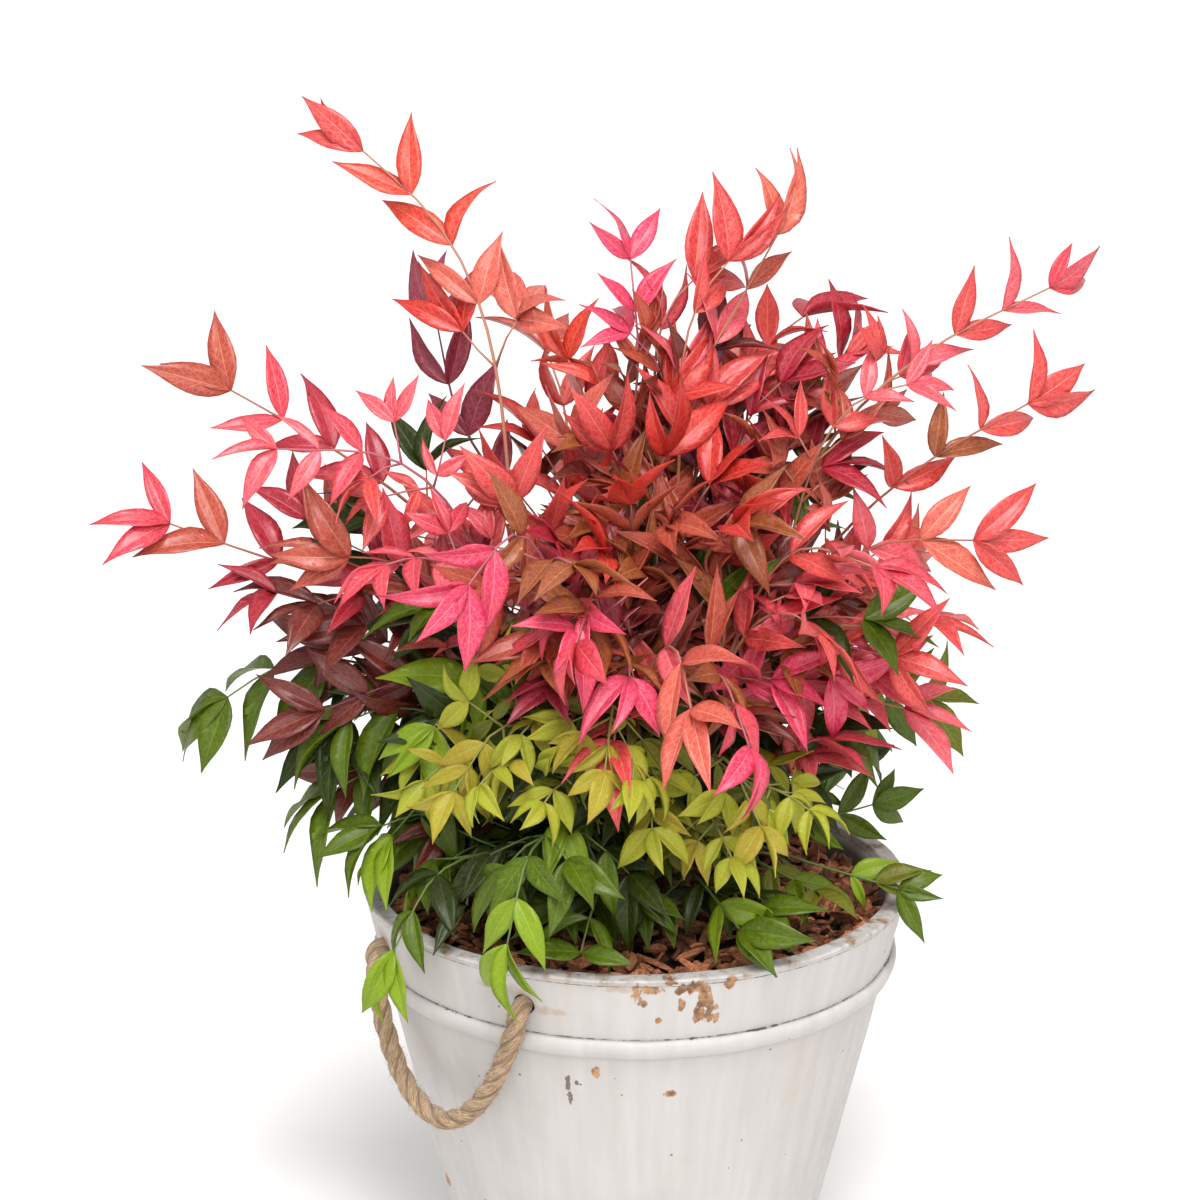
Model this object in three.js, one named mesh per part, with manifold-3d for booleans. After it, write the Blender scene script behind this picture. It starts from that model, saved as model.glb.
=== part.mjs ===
// A heavenly bamboo (Nandina) of one season's red and green leaf, growing in a limewashed wooden bucket
// with two jute rope handles. Millimetres, +Z up; the origin is the centre of the bucket's flat underside.
//
// The shrub is a clump of bare canes that stand on the potting soil. Every cane carries several sprays:
// a spray is one compound leaf, a thin stalk with side stalks in pairs and pointed leaflets in threes.
// A spray keeps to the space that is nearer to its own stalk than to any other spray's.
import * as THREE from "three";
import { mergeVertices } from "three/addons/utils/BufferGeometryUtils.js";
import Module from "manifold-3d";

const wasm = await Module();
wasm.setup();

// ---------------------------------------------------------------- driving dimensions
const GAP = 0.3; // between two separate pieces that touch
const BUCKET = { height: 285, rim: 170, base: 102, wall: 12, floor: 14, lip: 3, facets: 40 };
const HOOP = { top: 243, height: 12, depth: 4.8, arcSteps: 3 };
const SOIL_TOP = BUCKET.height - 22;
const MULCH = { hole: 58, depth: 11, relief: 4, rings: 3, sectors: 26 };
const ROPE = { radius: 6, sides: 8, steps: 16, holeRadius: 6.6, holeSides: 12, holeZ: 262 };
const HANDLE_ANGLES = [225.2, 45.2]; // degrees from +X, the middle of each handle

// One half of a handle, from its hole to its lowest point, in the handle's own frame:
// degrees round the bucket from the handle's middle, distance from the bucket's axis, height.
const HANDLE_HALF = [
  [21.8, 153.5, 262],
  [21.8, 160.5, 262],
  [21.8, 168, 262],
  [21.6, 171.6, 258],
  [21, 172.2, 249],
  [19.8, 172.4, 238],
  [17.8, 172, 223],
  [14.8, 171, 206.5],
  [10.8, 169.5, 191],
  [5.8, 168, 179.5],
  [0, 167.5, 175],
];

const CANE = { count: 7, ring: 30, baseRadius: 4.4, tipRadius: 2.6, flare: 2.2, sides: 6 };
const CANE_HEIGHTS = [232, 176, 205, 180, 214, 186, 198]; // the first is the upright one in the middle
const CANE_LEAN = { outer: 42, upright: 6, power: 1.6 }; // how far a tip stands out beyond its foot
const CANE_STATIONS = [0, 0.05, 0.3, 0.6, 0.85, 1]; // the shares of its height where a cane bends
const CANE_AZIMUTH = 12; // degrees from +X of the first outer cane
const UPRIGHT_REACH = 125; // a spray that reaches no further than this grows on the middle cane
const LOWEST_SPRAY = 0.16; // where the sprays of a cane leave it, as shares of its height
const HIGHEST_SPRAY = 0.9;

const STALK = { baseRadius: 2.3, tipRadius: 1.1, sides: 3, segments: 5, stub: 4, handle: 0.36 };
const STALK_LIFT = { extra: 28, mostAtTip: 84, mostAtSide: 62 }; // degrees above the way to the stalk's end
const ASIDE = [0, 10, -10, 20, -20, 32, -32, 45, -45, 60, -60]; // degrees aside that a stalk tries in turn
const BARE_SHARE = 0.36; // the first part of a stalk carries nothing
const NODE_SPACING = 62; // along a stalk, between pairs
const MOST_PAIRS = 4;
const FIRST_PAIR_SCALE = 0.95;
const SIDE_STALK = { length: 26, inset: 0.6, spread: 1.1, baseRadius: 1.3, tipRadius: 1, leafScale: 0.86 };
const FREE_STRETCH = [0.3, 0.8]; // the shares of a side stalk that no leaflet of its own spray may cross

const LEAFLET = { widthShare: 0.38, thickness: 1.8, widest: 0.38, bow: 0.03, droop: 0.12, root: 0.4 };
const NECK = 0.16; // the share of a leaflet next to its root, which may meet its neighbour's
const SET_BACK = 0.9; // a stalk ends this share of a leaflet before the spray's tip
const TRIO_STEP = { middle: 1, pair: 8 }; // how far behind a stalk's end its last leaflets are rooted
const PAIR_ANGLE = { middle: 44, spread: 0.3 }; // degrees between a stalk and the leaflets of a pair
const LENGTH_SPREAD = 0.24; // from the shortest leaflet to the longest, as a share of their length
const TRIES = [0, 0.4, -0.4, 0.8, -0.8]; // how far a leaflet swings aside to find room
const SWUNG = { rise: 0.5, shorter: 0.2 }; // how much a leaflet that swings aside rises and is shorter
const LIFT = { pitch: 0.3, chance: 0.4 }; // how much leaflets rise with their spray, and by chance
const HANG = { red: 0.15, coral: 0.2, rose: -0.1, wine: 0.2, green: -0.15, lime: -0.5 }; // and by tint
const FACING = { out: 0.5, up: 0.75, front: 0.9, behind: 0.27 }; // the way that a spray's blades face
const TWIST = 90; // degrees over which the flat of a spray turns about its stalk, from spray to spray
const TILT = { fold: -0.35, roll: 1.6, up: 0.25 }; // how far leaflets turn out of the flat of their spray
const MERGE = 1e-4; // corners closer than this are one
const TRIM = 0.02; // edges shorter than this go when pieces are joined
const CLEAR = 0.5; // least gap between a leaflet and a cane, a stalk, the bucket, the mulch or a rope

// Leaf lengths by tint.
const LEAF = { red: 90, coral: 88, rose: 84, wine: 88, green: 82, lime: 66 };

// name, tint, degrees from +X, reach from the axis, rise above the rim, pitch of the tip in degrees
const SPRAYS = [
  ["high_left", "coral", 169, 203, 477, 40],
  ["wine_left", "wine", 152, 148, 377, 78],
  ["upper_left", "red", 180, 283, 331, 30],
  ["pink_left", "rose", 201, 254, 294, 6],
  ["left", "red", 185, 323, 249, 22],
  ["dark_left", "wine", 174, 210, 168, 4],
  ["green_left", "green", 180, 295, 84, -35],
  ["green_low_left", "green", 188, 229, 41, -28],
  ["green_left_rim", "green", 202, 192, 13, -45],
  ["over_rim_left", "green", 222, 214, -34, -55],
  ["over_rim_front", "green", 248, 214, -10, -60],
  ["rim_front_right", "green", 294, 190, 10, -12],
  ["over_rim_right", "green", 338, 200, 12, -8],
  ["green_right", "green", 13, 186, 41, 12],
  ["green_upper_right", "green", 8, 223, 108, 0],
  ["pink_right", "rose", 331, 214, 165, -4],
  ["right", "red", 358, 250, 218, 0],
  ["upper_right", "red", 0, 274, 324, 30],
  ["high_right", "coral", 6, 281, 381, 25],
  ["top_right", "coral", 14, 110, 440, 60],
  ["top_middle", "rose", 200, 8, 424, 84],
  ["crimson_right", "red", 22, 166, 350, 46],
  ["pink_front", "rose", 259, 214, 187, -20],
  ["pink_front_right", "coral", 280, 218, 140, -32],
  ["pink_low", "rose", 291, 212, 112, -40],
  ["rose_front_left", "rose", 242, 236, 218, -25],
  ["middle_front", "red", 258, 128, 257, 35],
  ["heart_left", "red", 228, 140, 290, 40],
  ["heart_right", "red", 302, 145, 278, 38],
  ["coral_front_right", "coral", 322, 220, 222, -8],
  ["low_left", "wine", 194, 236, 108, -18],
  ["right_low", "coral", 346, 214, 116, -8],
  ["top_left", "coral", 164, 62, 368, 66],
  ["lime_left", "lime", 234, 198, 88, -38],
  ["lime_front", "lime", 264, 186, 109, -35],
  ["lime_right", "lime", 297, 180, 67, -38],
  ["green_front_left", "green", 215, 180, 92, -42],
  ["green_low_right", "green", 319, 172, 39, -6],
  ["green_front", "green", 250, 160, 58, -28],
];

// The far side, unseen from the front, is filled by three rings of sprays.
const RING_SWING = { reach: 12, rise: 16 }; // neighbours in a ring differ by so much either way
const FAR_RINGS = [
  { name: "far_low", tint: "green", azimuths: [55, 97, 139], reach: 212, rise: 28, pitch: -24 },
  { name: "far_middle", tint: "red", azimuths: [40, 86, 132], reach: 262, rise: 182, pitch: 4 },
  { name: "far_high", tint: "coral", azimuths: [62, 118], reach: 178, rise: 340, pitch: 34 },
];
for (const ring of FAR_RINGS)
  ring.azimuths.forEach((azimuth, i) => {
    const side = i % 2 ? 1 : -1;
    const reach = ring.reach + RING_SWING.reach * side;
    const rise = ring.rise + RING_SWING.rise * side;
    SPRAYS.push([`${ring.name}_${i + 1}`, ring.tint, azimuth, reach, rise, ring.pitch]);
  });

const COLOURS = {
  red: 0xb3262c,
  coral: 0xd9594a,
  rose: 0xd83a5e,
  wine: 0x7c2233,
  green: 0x3d7a2a,
  lime: 0xa9b545,
  cane: 0x6e5a3c,
  limewash: 0xe6e2dd,
  soil: 0x2d1e16,
  bark: 0x7a4026,
  jute: 0xb08a5e,
};

// ---------------------------------------------------------------- small helpers
const V = (x, y, z) => new THREE.Vector3(x, y, z);
const UP = V(0, 0, 1);
const radians = THREE.MathUtils.degToRad;
const lerp = THREE.MathUtils.lerp;
const around = (degrees, radius, z) =>
  V(radius * Math.cos(radians(degrees)), radius * Math.sin(radians(degrees)), z);

// A repeatable stream of numbers from 0 to 1.
function dice(seed) {
  let state = (seed * 2654435761) >>> 0;
  return () => {
    state = (Math.imul(state, 1664525) + 1013904223) >>> 0;
    return state / 4294967296;
  };
}

function indexed(positions, triangles) {
  const geometry = new THREE.BufferGeometry();
  geometry.setAttribute("position", new THREE.Float32BufferAttribute(positions, 3));
  geometry.setIndex(triangles);
  return geometry;
}

// A closed three.js geometry as a solid that can be joined and cut.
function solidOf(geometry) {
  const bare = geometry.clone();
  bare.deleteAttribute("normal");
  bare.deleteAttribute("uv");
  const merged = mergeVertices(bare, MERGE);
  return new wasm.Manifold(
    new wasm.Mesh({
      numProp: 3,
      vertProperties: new Float32Array(merged.attributes.position.array),
      triVerts: new Uint32Array(merged.index.array),
    }),
  );
}

// A solid as three.js geometry.
function geometryOf(solid) {
  const mesh = solid.getMesh();
  const geometry = indexed(Array.from(mesh.vertProperties), Array.from(mesh.triVerts));
  geometry.computeVertexNormals();
  return geometry;
}

// A tapering limb through the given points, with flat ends.
function limb(points, radii, sides) {
  const positions = [];
  const triangles = [];
  let across = null;
  points.forEach((point, i) => {
    const before = points[Math.max(i - 1, 0)];
    const after = points[Math.min(i + 1, points.length - 1)];
    const along = after.clone().sub(before).normalize();
    if (!across) across = Math.abs(along.z) < 0.9 ? UP.clone() : V(1, 0, 0);
    across.sub(along.clone().multiplyScalar(across.dot(along))).normalize();
    const third = along.clone().cross(across);
    for (let k = 0; k < sides; k++) {
      const turn = (2 * Math.PI * k) / sides;
      const out = across.clone().multiplyScalar(Math.cos(turn)).addScaledVector(third, Math.sin(turn));
      positions.push(...point.clone().addScaledVector(out, radii[i]).toArray());
    }
  });
  for (let i = 0; i < points.length - 1; i++)
    for (let k = 0; k < sides; k++) {
      const a = i * sides + k;
      const b = i * sides + ((k + 1) % sides);
      triangles.push(a, b, b + sides, a, b + sides, a + sides);
    }
  const last = (points.length - 1) * sides;
  for (let k = 1; k < sides - 1; k++) {
    triangles.push(0, k + 1, k);
    triangles.push(last, last + k, last + k + 1);
  }
  return indexed(positions, triangles);
}

// A profile of [radius, height] pairs turned round the Z axis.
function turned(profile, facets) {
  const points = profile.map(([radius, height]) => new THREE.Vector2(radius, height));
  return new THREE.LatheGeometry(points, facets).rotateX(Math.PI / 2);
}

// ---------------------------------------------------------------- the bucket and what is in it
const outerRadius = (z) => lerp(BUCKET.base, BUCKET.rim, z / BUCKET.height);
const innerRadius = (z) => outerRadius(z) - BUCKET.wall;

function bucketGeometry() {
  const { height, lip, floor } = BUCKET;
  const shell = solidOf(
    turned(
      [
        [0, 0],
        [outerRadius(0), 0],
        [outerRadius(height - lip), height - lip],
        [outerRadius(height) - lip, height],
        [innerRadius(height) + lip, height],
        [innerRadius(height - lip), height - lip],
        [innerRadius(floor), floor],
        [0, floor],
      ],
      BUCKET.facets,
    ),
  );
  const side = HANDLE_HALF[0][0];
  const drills = HANDLE_ANGLES.flatMap((middle) => [middle - side, middle + side]);
  return geometryOf(drills.reduce((left, angle) => left.subtract(ropeHole(angle)), shell));
}

// A round hole straight through the wall, where a rope goes in.
function ropeHole(angle) {
  const drill = new THREE.CylinderGeometry(ROPE.holeRadius, ROPE.holeRadius, 4 * BUCKET.wall, ROPE.holeSides);
  drill.rotateZ(Math.PI / 2);
  drill.translate(outerRadius(ROPE.holeZ), 0, ROPE.holeZ);
  drill.rotateZ(radians(angle));
  return solidOf(drill);
}

// A half-round wooden hoop that runs round the wall.
function hoopGeometry() {
  const bottom = HOOP.top - HOOP.height;
  const profile = [[outerRadius(bottom) + GAP, bottom]];
  for (let i = 1; i <= HOOP.arcSteps; i++) {
    const turn = (Math.PI * i) / (HOOP.arcSteps + 1);
    const z = bottom + (HOOP.height * (1 - Math.cos(turn))) / 2;
    profile.push([outerRadius(z) + GAP + HOOP.depth * Math.sin(turn), z]);
  }
  profile.push([outerRadius(HOOP.top) + GAP, HOOP.top], profile[0]);
  return turned(profile, BUCKET.facets);
}

function soilGeometry() {
  const floor = BUCKET.floor + GAP;
  const profile = [
    [0, floor],
    [innerRadius(floor) - 2 * GAP, floor],
    [innerRadius(SOIL_TOP) - 2 * GAP, SOIL_TOP],
    [0, SOIL_TOP],
  ];
  return turned(profile, BUCKET.facets);
}

// A ring of chipped bark round the foot of the clump, uneven on top.
function mulchGeometry() {
  const roll = dice(7);
  const low = SOIL_TOP + GAP;
  const edge = innerRadius(low) - 3 * GAP;
  const positions = [];
  const triangles = [];
  const { rings, sectors } = MULCH;
  for (let ring = 0; ring <= rings; ring++)
    for (let i = 0; i < sectors; i++) {
      const radius = lerp(MULCH.hole, edge, ring / rings);
      const top = low + MULCH.depth - MULCH.relief * roll();
      positions.push(...around((360 * i) / sectors, radius, top).toArray());
    }
  for (const radius of [MULCH.hole, edge])
    for (let i = 0; i < sectors; i++) positions.push(...around((360 * i) / sectors, radius, low).toArray());
  const band = (inner, outer) => {
    for (let i = 0; i < sectors; i++) {
      const next = (i + 1) % sectors;
      triangles.push(inner + i, outer + i, outer + next, inner + i, outer + next, inner + next);
    }
  };
  const foot = (rings + 1) * sectors;
  for (let ring = 0; ring < rings; ring++) band(ring * sectors, (ring + 1) * sectors);
  band(rings * sectors, foot + sectors);
  band(foot + sectors, foot);
  band(foot, 0);
  return indexed(positions, triangles);
}

// ---------------------------------------------------------------- the rope handles
function handleCurve(middle) {
  const half = HANDLE_HALF.map(([turn, radius, z]) => around(middle - turn, radius, z));
  const other = HANDLE_HALF.slice(0, -1).map(([turn, radius, z]) => around(middle + turn, radius, z));
  return new THREE.CatmullRomCurve3([...half, ...other.reverse()]);
}

function ropeGeometry(curve) {
  const section = new THREE.Shape();
  for (let k = 0; k < ROPE.sides; k++) {
    const turn = (2 * Math.PI * k) / ROPE.sides;
    const point = [ROPE.radius * Math.cos(turn), ROPE.radius * Math.sin(turn)];
    if (k) section.lineTo(...point);
    else section.moveTo(...point);
  }
  return new THREE.ExtrudeGeometry(section, { steps: ROPE.steps, extrudePath: curve, curveSegments: 1 });
}

// ---------------------------------------------------------------- canes and stalks
// Cane 0 is upright in the middle; the others stand in a ring and lean outwards.
function caneLine(index) {
  const height = CANE_HEIGHTS[index];
  const azimuth = CANE_AZIMUTH + (360 * (index - 1)) / (CANE.count - 1);
  const foot = index ? CANE.ring : 0;
  const lean = index ? CANE_LEAN.outer : CANE_LEAN.upright;
  const points = [];
  for (const share of CANE_STATIONS)
    points.push(around(azimuth, foot + lean * share ** CANE_LEAN.power, SOIL_TOP + GAP + height * share));
  return points;
}

function pathOf(points) {
  const path = new THREE.CurvePath();
  for (let i = 1; i < points.length; i++) path.add(new THREE.LineCurve3(points[i - 1], points[i]));
  return path;
}

function caneRadii(points) {
  return points.map((_, i) => {
    const share = i / (points.length - 1);
    return lerp(CANE.baseRadius, CANE.tipRadius, share) + (i ? 0 : CANE.flare);
  });
}

const canes = Array.from({ length: CANE.count }, (_, i) => {
  const line = caneLine(i);
  return { name: `cane_${i + 1}`, line, radii: caneRadii(line), path: pathOf(line), sprays: [] };
});

function caneFor(azimuth, reach) {
  if (reach <= UPRIGHT_REACH) return canes[0];
  const step = 360 / (CANE.count - 1);
  const turn = THREE.MathUtils.euclideanModulo(azimuth - CANE_AZIMUTH, 360);
  return canes[1 + (Math.round(turn / step) % (CANE.count - 1))];
}

const sprays = SPRAYS.map(([name, tint, azimuth, reach, rise, pitch], i) => {
  const tip = around(azimuth, reach, BUCKET.height + rise);
  const heading = around(azimuth, Math.cos(radians(pitch)), Math.sin(radians(pitch)));
  const roll = dice(i + 11);
  const spray = { name: `spray_${name}`, tint, azimuth, tip, heading, pitch, roll, leaf: LEAF[tint] };
  caneFor(azimuth, reach).sprays.push(spray);
  return spray;
});

// The highest spray of a cane grows on from its tip; the others leave its side, one above the other.
for (const cane of canes) {
  cane.sprays.sort((a, b) => a.tip.z - b.tip.z);
  cane.sprays.forEach((spray, i) => {
    const atTip = i === cane.sprays.length - 1;
    const share = atTip ? 1 : lerp(LOWEST_SPRAY, HIGHEST_SPRAY, i / (cane.sprays.length - 1));
    const axis = cane.path.getTangent(share);
    const centre = cane.path.getPoint(share);
    const out = around(spray.azimuth, 1, 0);
    if (!atTip) out.addScaledVector(axis, -out.dot(axis)).normalize();
    spray.stub = atTip ? axis : out;
    spray.atTip = atTip;
    const skin = atTip ? 0 : lerp(CANE.baseRadius, CANE.tipRadius, share);
    spray.root = centre.addScaledVector(spray.stub, skin + GAP);
    growStalk(spray, 0);
  });
}

// A stalk leaves its cane on a short stub, rises and then bows over to its tip. To keep clear of another
// limb it can set off some degrees aside.
function growStalk(spray, aside) {
  const start = spray.root.clone().addScaledVector(spray.stub, STALK.stub);
  const end = spray.tip.clone().addScaledVector(spray.heading, -SET_BACK * spray.leaf);
  const span = end.distanceTo(start);
  const climb = Math.atan2(end.z - start.z, Math.hypot(end.x - start.x, end.y - start.y));
  const most = spray.atTip ? STALK_LIFT.mostAtTip : STALK_LIFT.mostAtSide;
  const lift = Math.min(climb + radians(STALK_LIFT.extra), radians(most));
  const leave = around(spray.azimuth + aside, Math.cos(lift), Math.sin(lift));
  const curve = new THREE.CubicBezierCurve3(
    start,
    start.clone().addScaledVector(leave, STALK.handle * span),
    end.clone().addScaledVector(spray.heading, -STALK.handle * span),
    end,
  );
  spray.curve = curve;
  spray.line = [spray.root, ...curve.getPoints(STALK.segments)];
  spray.reachLine = [...spray.line, spray.tip];
}

// ---------------------------------------------------------------- room for the foliage
function distanceToLine(point, line) {
  let best = Infinity;
  const segment = new THREE.Line3();
  const near = V(0, 0, 0);
  for (let i = 0; i < line.length - 1; i++) {
    segment.set(line[i], line[i + 1]).closestPointToPoint(point, true, near);
    best = Math.min(best, near.distanceTo(point));
  }
  return best;
}

const handles = HANDLE_ANGLES.map(handleCurve);

// True where a point is clear of the bucket and of what is in it.
function clearOfBucket(point) {
  const radius = Math.hypot(point.x, point.y);
  if (point.z > BUCKET.height + CLEAR) return true;
  if (radius < innerRadius(point.z) - CLEAR) return point.z > SOIL_TOP + MULCH.depth + GAP + CLEAR;
  return radius > outerRadius(point.z) + HOOP.depth + 2 * CLEAR;
}

function inOwnSpace(point, spray) {
  const own = distanceToLine(point, spray.reachLine);
  return sprays.every((other) => other === spray || distanceToLine(point, other.reachLine) > own);
}

// ---------------------------------------------------------------- leaflets and side stalks
// A leaflet of six faces: a pointed blade that bows down to its tip, with a raised midrib.
function leafletCorners(base, along, normal, length, grow = 0) {
  const across = normal.clone().cross(along).normalize();
  const up = along.clone().cross(across).normalize();
  const half = (length * LEAFLET.widthShare) / 2 + grow;
  const at = (share, rise) => base.clone().addScaledVector(along, length * share).addScaledVector(up, rise);
  const side = (sign) => at(LEAFLET.widest, length * LEAFLET.bow - grow).addScaledVector(across, sign * half);
  return {
    root: base.clone().addScaledVector(along, -LEAFLET.root),
    left: side(1),
    right: side(-1),
    top: at(LEAFLET.widest, length * LEAFLET.bow + LEAFLET.thickness + grow),
    tip: at(1, -length * LEAFLET.droop).addScaledVector(along, 4 * grow),
  };
}

function leafletSolid({ root, left, right, top, tip }) {
  const positions = [root, left, tip, right, top].flatMap((point) => point.toArray());
  return solidOf(indexed(positions, [4, 0, 3, 4, 3, 2, 4, 2, 1, 4, 1, 0, 1, 3, 0, 1, 2, 3]));
}

function samplesOf({ root, left, right, top, tip }) {
  const between = (a, b, share) => a.clone().lerp(b, share);
  const sides = [left, right].flatMap((side) => [side, between(root, side, 0.5), between(side, tip, 0.5)]);
  return [...sides, top, tip, between(top, tip, 0.5), between(root, top, 0.6)];
}

function boxOf(solid) {
  const { min, max } = solid.boundingBox();
  return new THREE.Box3(V(...min), V(...max));
}

// True where every edge of a solid is shared by two faces once its corners are rounded to 0.001 mm.
function isSound(solid) {
  const mesh = solid.getMesh();
  const corner = (i) => Array.from(mesh.vertProperties.slice(3 * i, 3 * i + 3), (x) => x.toFixed(3)).join();
  const labels = Array.from({ length: mesh.numVert }, (_, i) => corner(i));
  const uses = new Map();
  for (let i = 0; i < mesh.triVerts.length; i += 3) {
    const face = [0, 1, 2].map((k) => labels[mesh.triVerts[i + k]]);
    face.forEach((from, k) => {
      const edge = [from, face[(k + 1) % 3]].sort().join(" ");
      uses.set(edge, (uses.get(edge) || 0) + 1);
    });
  }
  return [...uses.values()].every((count) => count === 2);
}

// Joins a leaflet or a side stalk to its spray, unless that would leave a loose scrap or an open seam.
function fuse(spray, solid) {
  const body = spray.body.add(solid).simplify(TRIM);
  if (body.decompose().length > 1 || !isSound(body)) return false;
  spray.body = body;
  return true;
}

function crosses(solid, box, other) {
  return other.box.intersectsBox(box) && !solid.intersect(other.solid).isEmpty();
}

// What already stands: each entry is a solid, its box and its spray.
const standing = [];
const stand = (solid, spray) => standing.push({ solid, box: boxOf(solid), spray });

function meetsOthers(solid, spray) {
  const box = boxOf(solid);
  return standing.some((other) => other.spray !== spray && crosses(solid, box, other));
}

function fits(corners, shell, blade, spray) {
  if (!samplesOf(corners).every(clearOfBucket) || !inOwnSpace(corners.top, spray)) return false;
  const box = boxOf(blade);
  return !spray.blades.some((other) => crosses(blade, box, other)) && !meetsOthers(shell, spray);
}

// A leaflet turns a little further out at each try, and is left off when none of them fits.
function addLeaflet(spray, base, along, normal, length) {
  const aside = normal.clone().cross(along).normalize();
  for (const swing of TRIES) {
    const direction = along.clone().addScaledVector(aside, swing);
    direction.addScaledVector(normal, SWUNG.rise * Math.abs(swing)).normalize();
    const size = length * (1 - SWUNG.shorter * Math.abs(swing));
    const corners = leafletCorners(base, direction, normal, size);
    const shell = leafletSolid(leafletCorners(base, direction, normal, size, CLEAR));
    const neck = base.clone().addScaledVector(direction, size * NECK);
    const blade = leafletSolid(leafletCorners(neck, direction, normal, size * (1 - NECK)));
    if (!fits(corners, shell, blade, spray) || !fuse(spray, leafletSolid(corners))) continue;
    spray.blades.push({ solid: blade, box: boxOf(blade) });
    stand(shell, spray);
    return;
  }
}

// Blades face up and out, and those at the plant's sides turn to its front.
function facingOf(azimuth) {
  const way = around(azimuth, FACING.out, FACING.up);
  if (way.y < FACING.behind) way.y -= FACING.front * Math.abs(Math.cos(radians(azimuth)));
  return way.normalize();
}

// The directions at a point of a stalk: along it, to its side, and up from its blades.
function frameAt(along, spray) {
  const side = along.clone().cross(spray.facing);
  if (side.lengthSq() < 0.01) side.copy(around(spray.azimuth - 90, 1, 0));
  side.normalize().applyAxisAngle(along, spray.twist);
  return { along, side, up: side.clone().cross(along).normalize() };
}

function leafDirection(frame, sign, spread, spray) {
  const turn = radians(PAIR_ANGLE.middle * (1 + PAIR_ANGLE.spread * (spray.roll() - 0.5))) * spread;
  const own = LIFT.pitch * Math.sin(radians(spray.pitch)) + HANG[spray.tint];
  const rise = own + LIFT.chance * (spray.roll() - 0.5);
  return frame.along
    .clone()
    .multiplyScalar(Math.cos(turn))
    .addScaledVector(frame.side, sign * Math.sin(turn))
    .addScaledVector(UP, rise)
    .normalize();
}

// A pair of leaflets and, at the end of a stalk, a third between them.
function leaflets(spray, at, along, withMiddle, scale) {
  const frame = frameAt(along, spray);
  const signs = withMiddle ? [0, 1, -1] : [1, -1];
  for (const sign of signs) {
    const direction = sign ? leafDirection(frame, sign, 1, spray) : along.clone();
    const step = withMiddle ? (sign ? TRIO_STEP.pair : TRIO_STEP.middle) : 0;
    const base = at.clone().addScaledVector(along, -step);
    const tilt = TILT.roll * (spray.roll() - 0.5) + TILT.fold * sign;
    const normal = frame.up.clone().addScaledVector(frame.side, tilt).addScaledVector(UP, TILT.up);
    const length = spray.leaf * scale * (1 + LENGTH_SPREAD * (spray.roll() - 0.5));
    addLeaflet(spray, base, direction, normal.normalize(), length);
  }
}

function sideStalk(spray, at, frame, sign, length) {
  const direction = leafDirection(frame, sign, SIDE_STALK.spread, spray);
  const end = at.clone().addScaledVector(direction, length);
  const radii = [SIDE_STALK.baseRadius, SIDE_STALK.tipRadius];
  const wide = solidOf(limb([at, end], radii.map((radius) => radius + CLEAR), STALK.sides));
  const clear = clearOfBucket(end) && !meetsOthers(wide, spray);
  if (!clear || !fuse(spray, solidOf(limb([at, end], radii, STALK.sides)))) {
    addLeaflet(spray, at, direction, frame.up, spray.leaf);
    return;
  }
  const free = FREE_STRETCH.map((share) => at.clone().lerp(end, share));
  const thin = solidOf(limb(free, radii, STALK.sides));
  spray.blades.push({ solid: thin, box: boxOf(thin) });
  stand(wide, spray);
  leaflets(spray, end, direction, true, SIDE_STALK.leafScale);
}

// The pairs of a stalk are evenly spaced over its outer part. The outermost are single leaflets,
// and the others are side stalks with three leaflets each.
function growPair(spray, i) {
  const length = spray.curve.getLength();
  const leafy = length * (1 - BARE_SHARE);
  const pairs = THREE.MathUtils.clamp(Math.round(leafy / NODE_SPACING), 2, MOST_PAIRS);
  if (i > pairs) return;
  const share = 1 - (i * leafy) / pairs / length;
  const at = spray.curve.getPointAt(share);
  const frame = frameAt(spray.curve.getTangentAt(share), spray);
  if (i === 0) leaflets(spray, at, spray.heading, true, 1);
  else if (i === 1) leaflets(spray, at, frame.along, false, FIRST_PAIR_SCALE);
  else {
    const side = SIDE_STALK.length * (i - SIDE_STALK.inset);
    for (const sign of [1, -1]) sideStalk(spray, at, frame, sign, side);
  }
}

// ---------------------------------------------------------------- growing the whole clump
const geometries = {
  bucket: bucketGeometry(),
  hoop: hoopGeometry(),
  soil: soilGeometry(),
  mulch: mulchGeometry(),
  ropes: handles.map(ropeGeometry),
  canes: canes.map((cane) => limb(cane.line, cane.radii, CANE.sides)),
};

for (const geometry of [geometries.bucket, geometries.hoop, geometries.mulch, ...geometries.ropes])
  stand(solidOf(geometry), null);
for (const cane of geometries.canes) stand(solidOf(cane), null);

function stalkRadii(line) {
  return line.map((_, i) => lerp(STALK.baseRadius, STALK.tipRadius, i / (line.length - 1)));
}

function placeStalk(spray) {
  const wideStalk = () => {
    const wide = stalkRadii(spray.line).map((radius, i) => radius + (i ? CLEAR : 0));
    return solidOf(limb(spray.line, wide, STALK.sides));
  };
  for (const aside of ASIDE) {
    growStalk(spray, aside);
    if (!meetsOthers(wideStalk(), spray)) break;
  }
  spray.body = solidOf(limb(spray.line, stalkRadii(spray.line), STALK.sides));
  stand(wideStalk(), spray);
}

for (const spray of sprays) {
  placeStalk(spray);
  spray.blades = [];
  spray.facing = facingOf(spray.azimuth);
  spray.twist = radians(TWIST) * (spray.roll() - 0.5);
}

// Every spray grows its outer leaflets before any grows its inner ones, so that none is crowded out.
for (let i = 0; i <= MOST_PAIRS; i++) sprays.forEach((spray) => growPair(spray, i));

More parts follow.
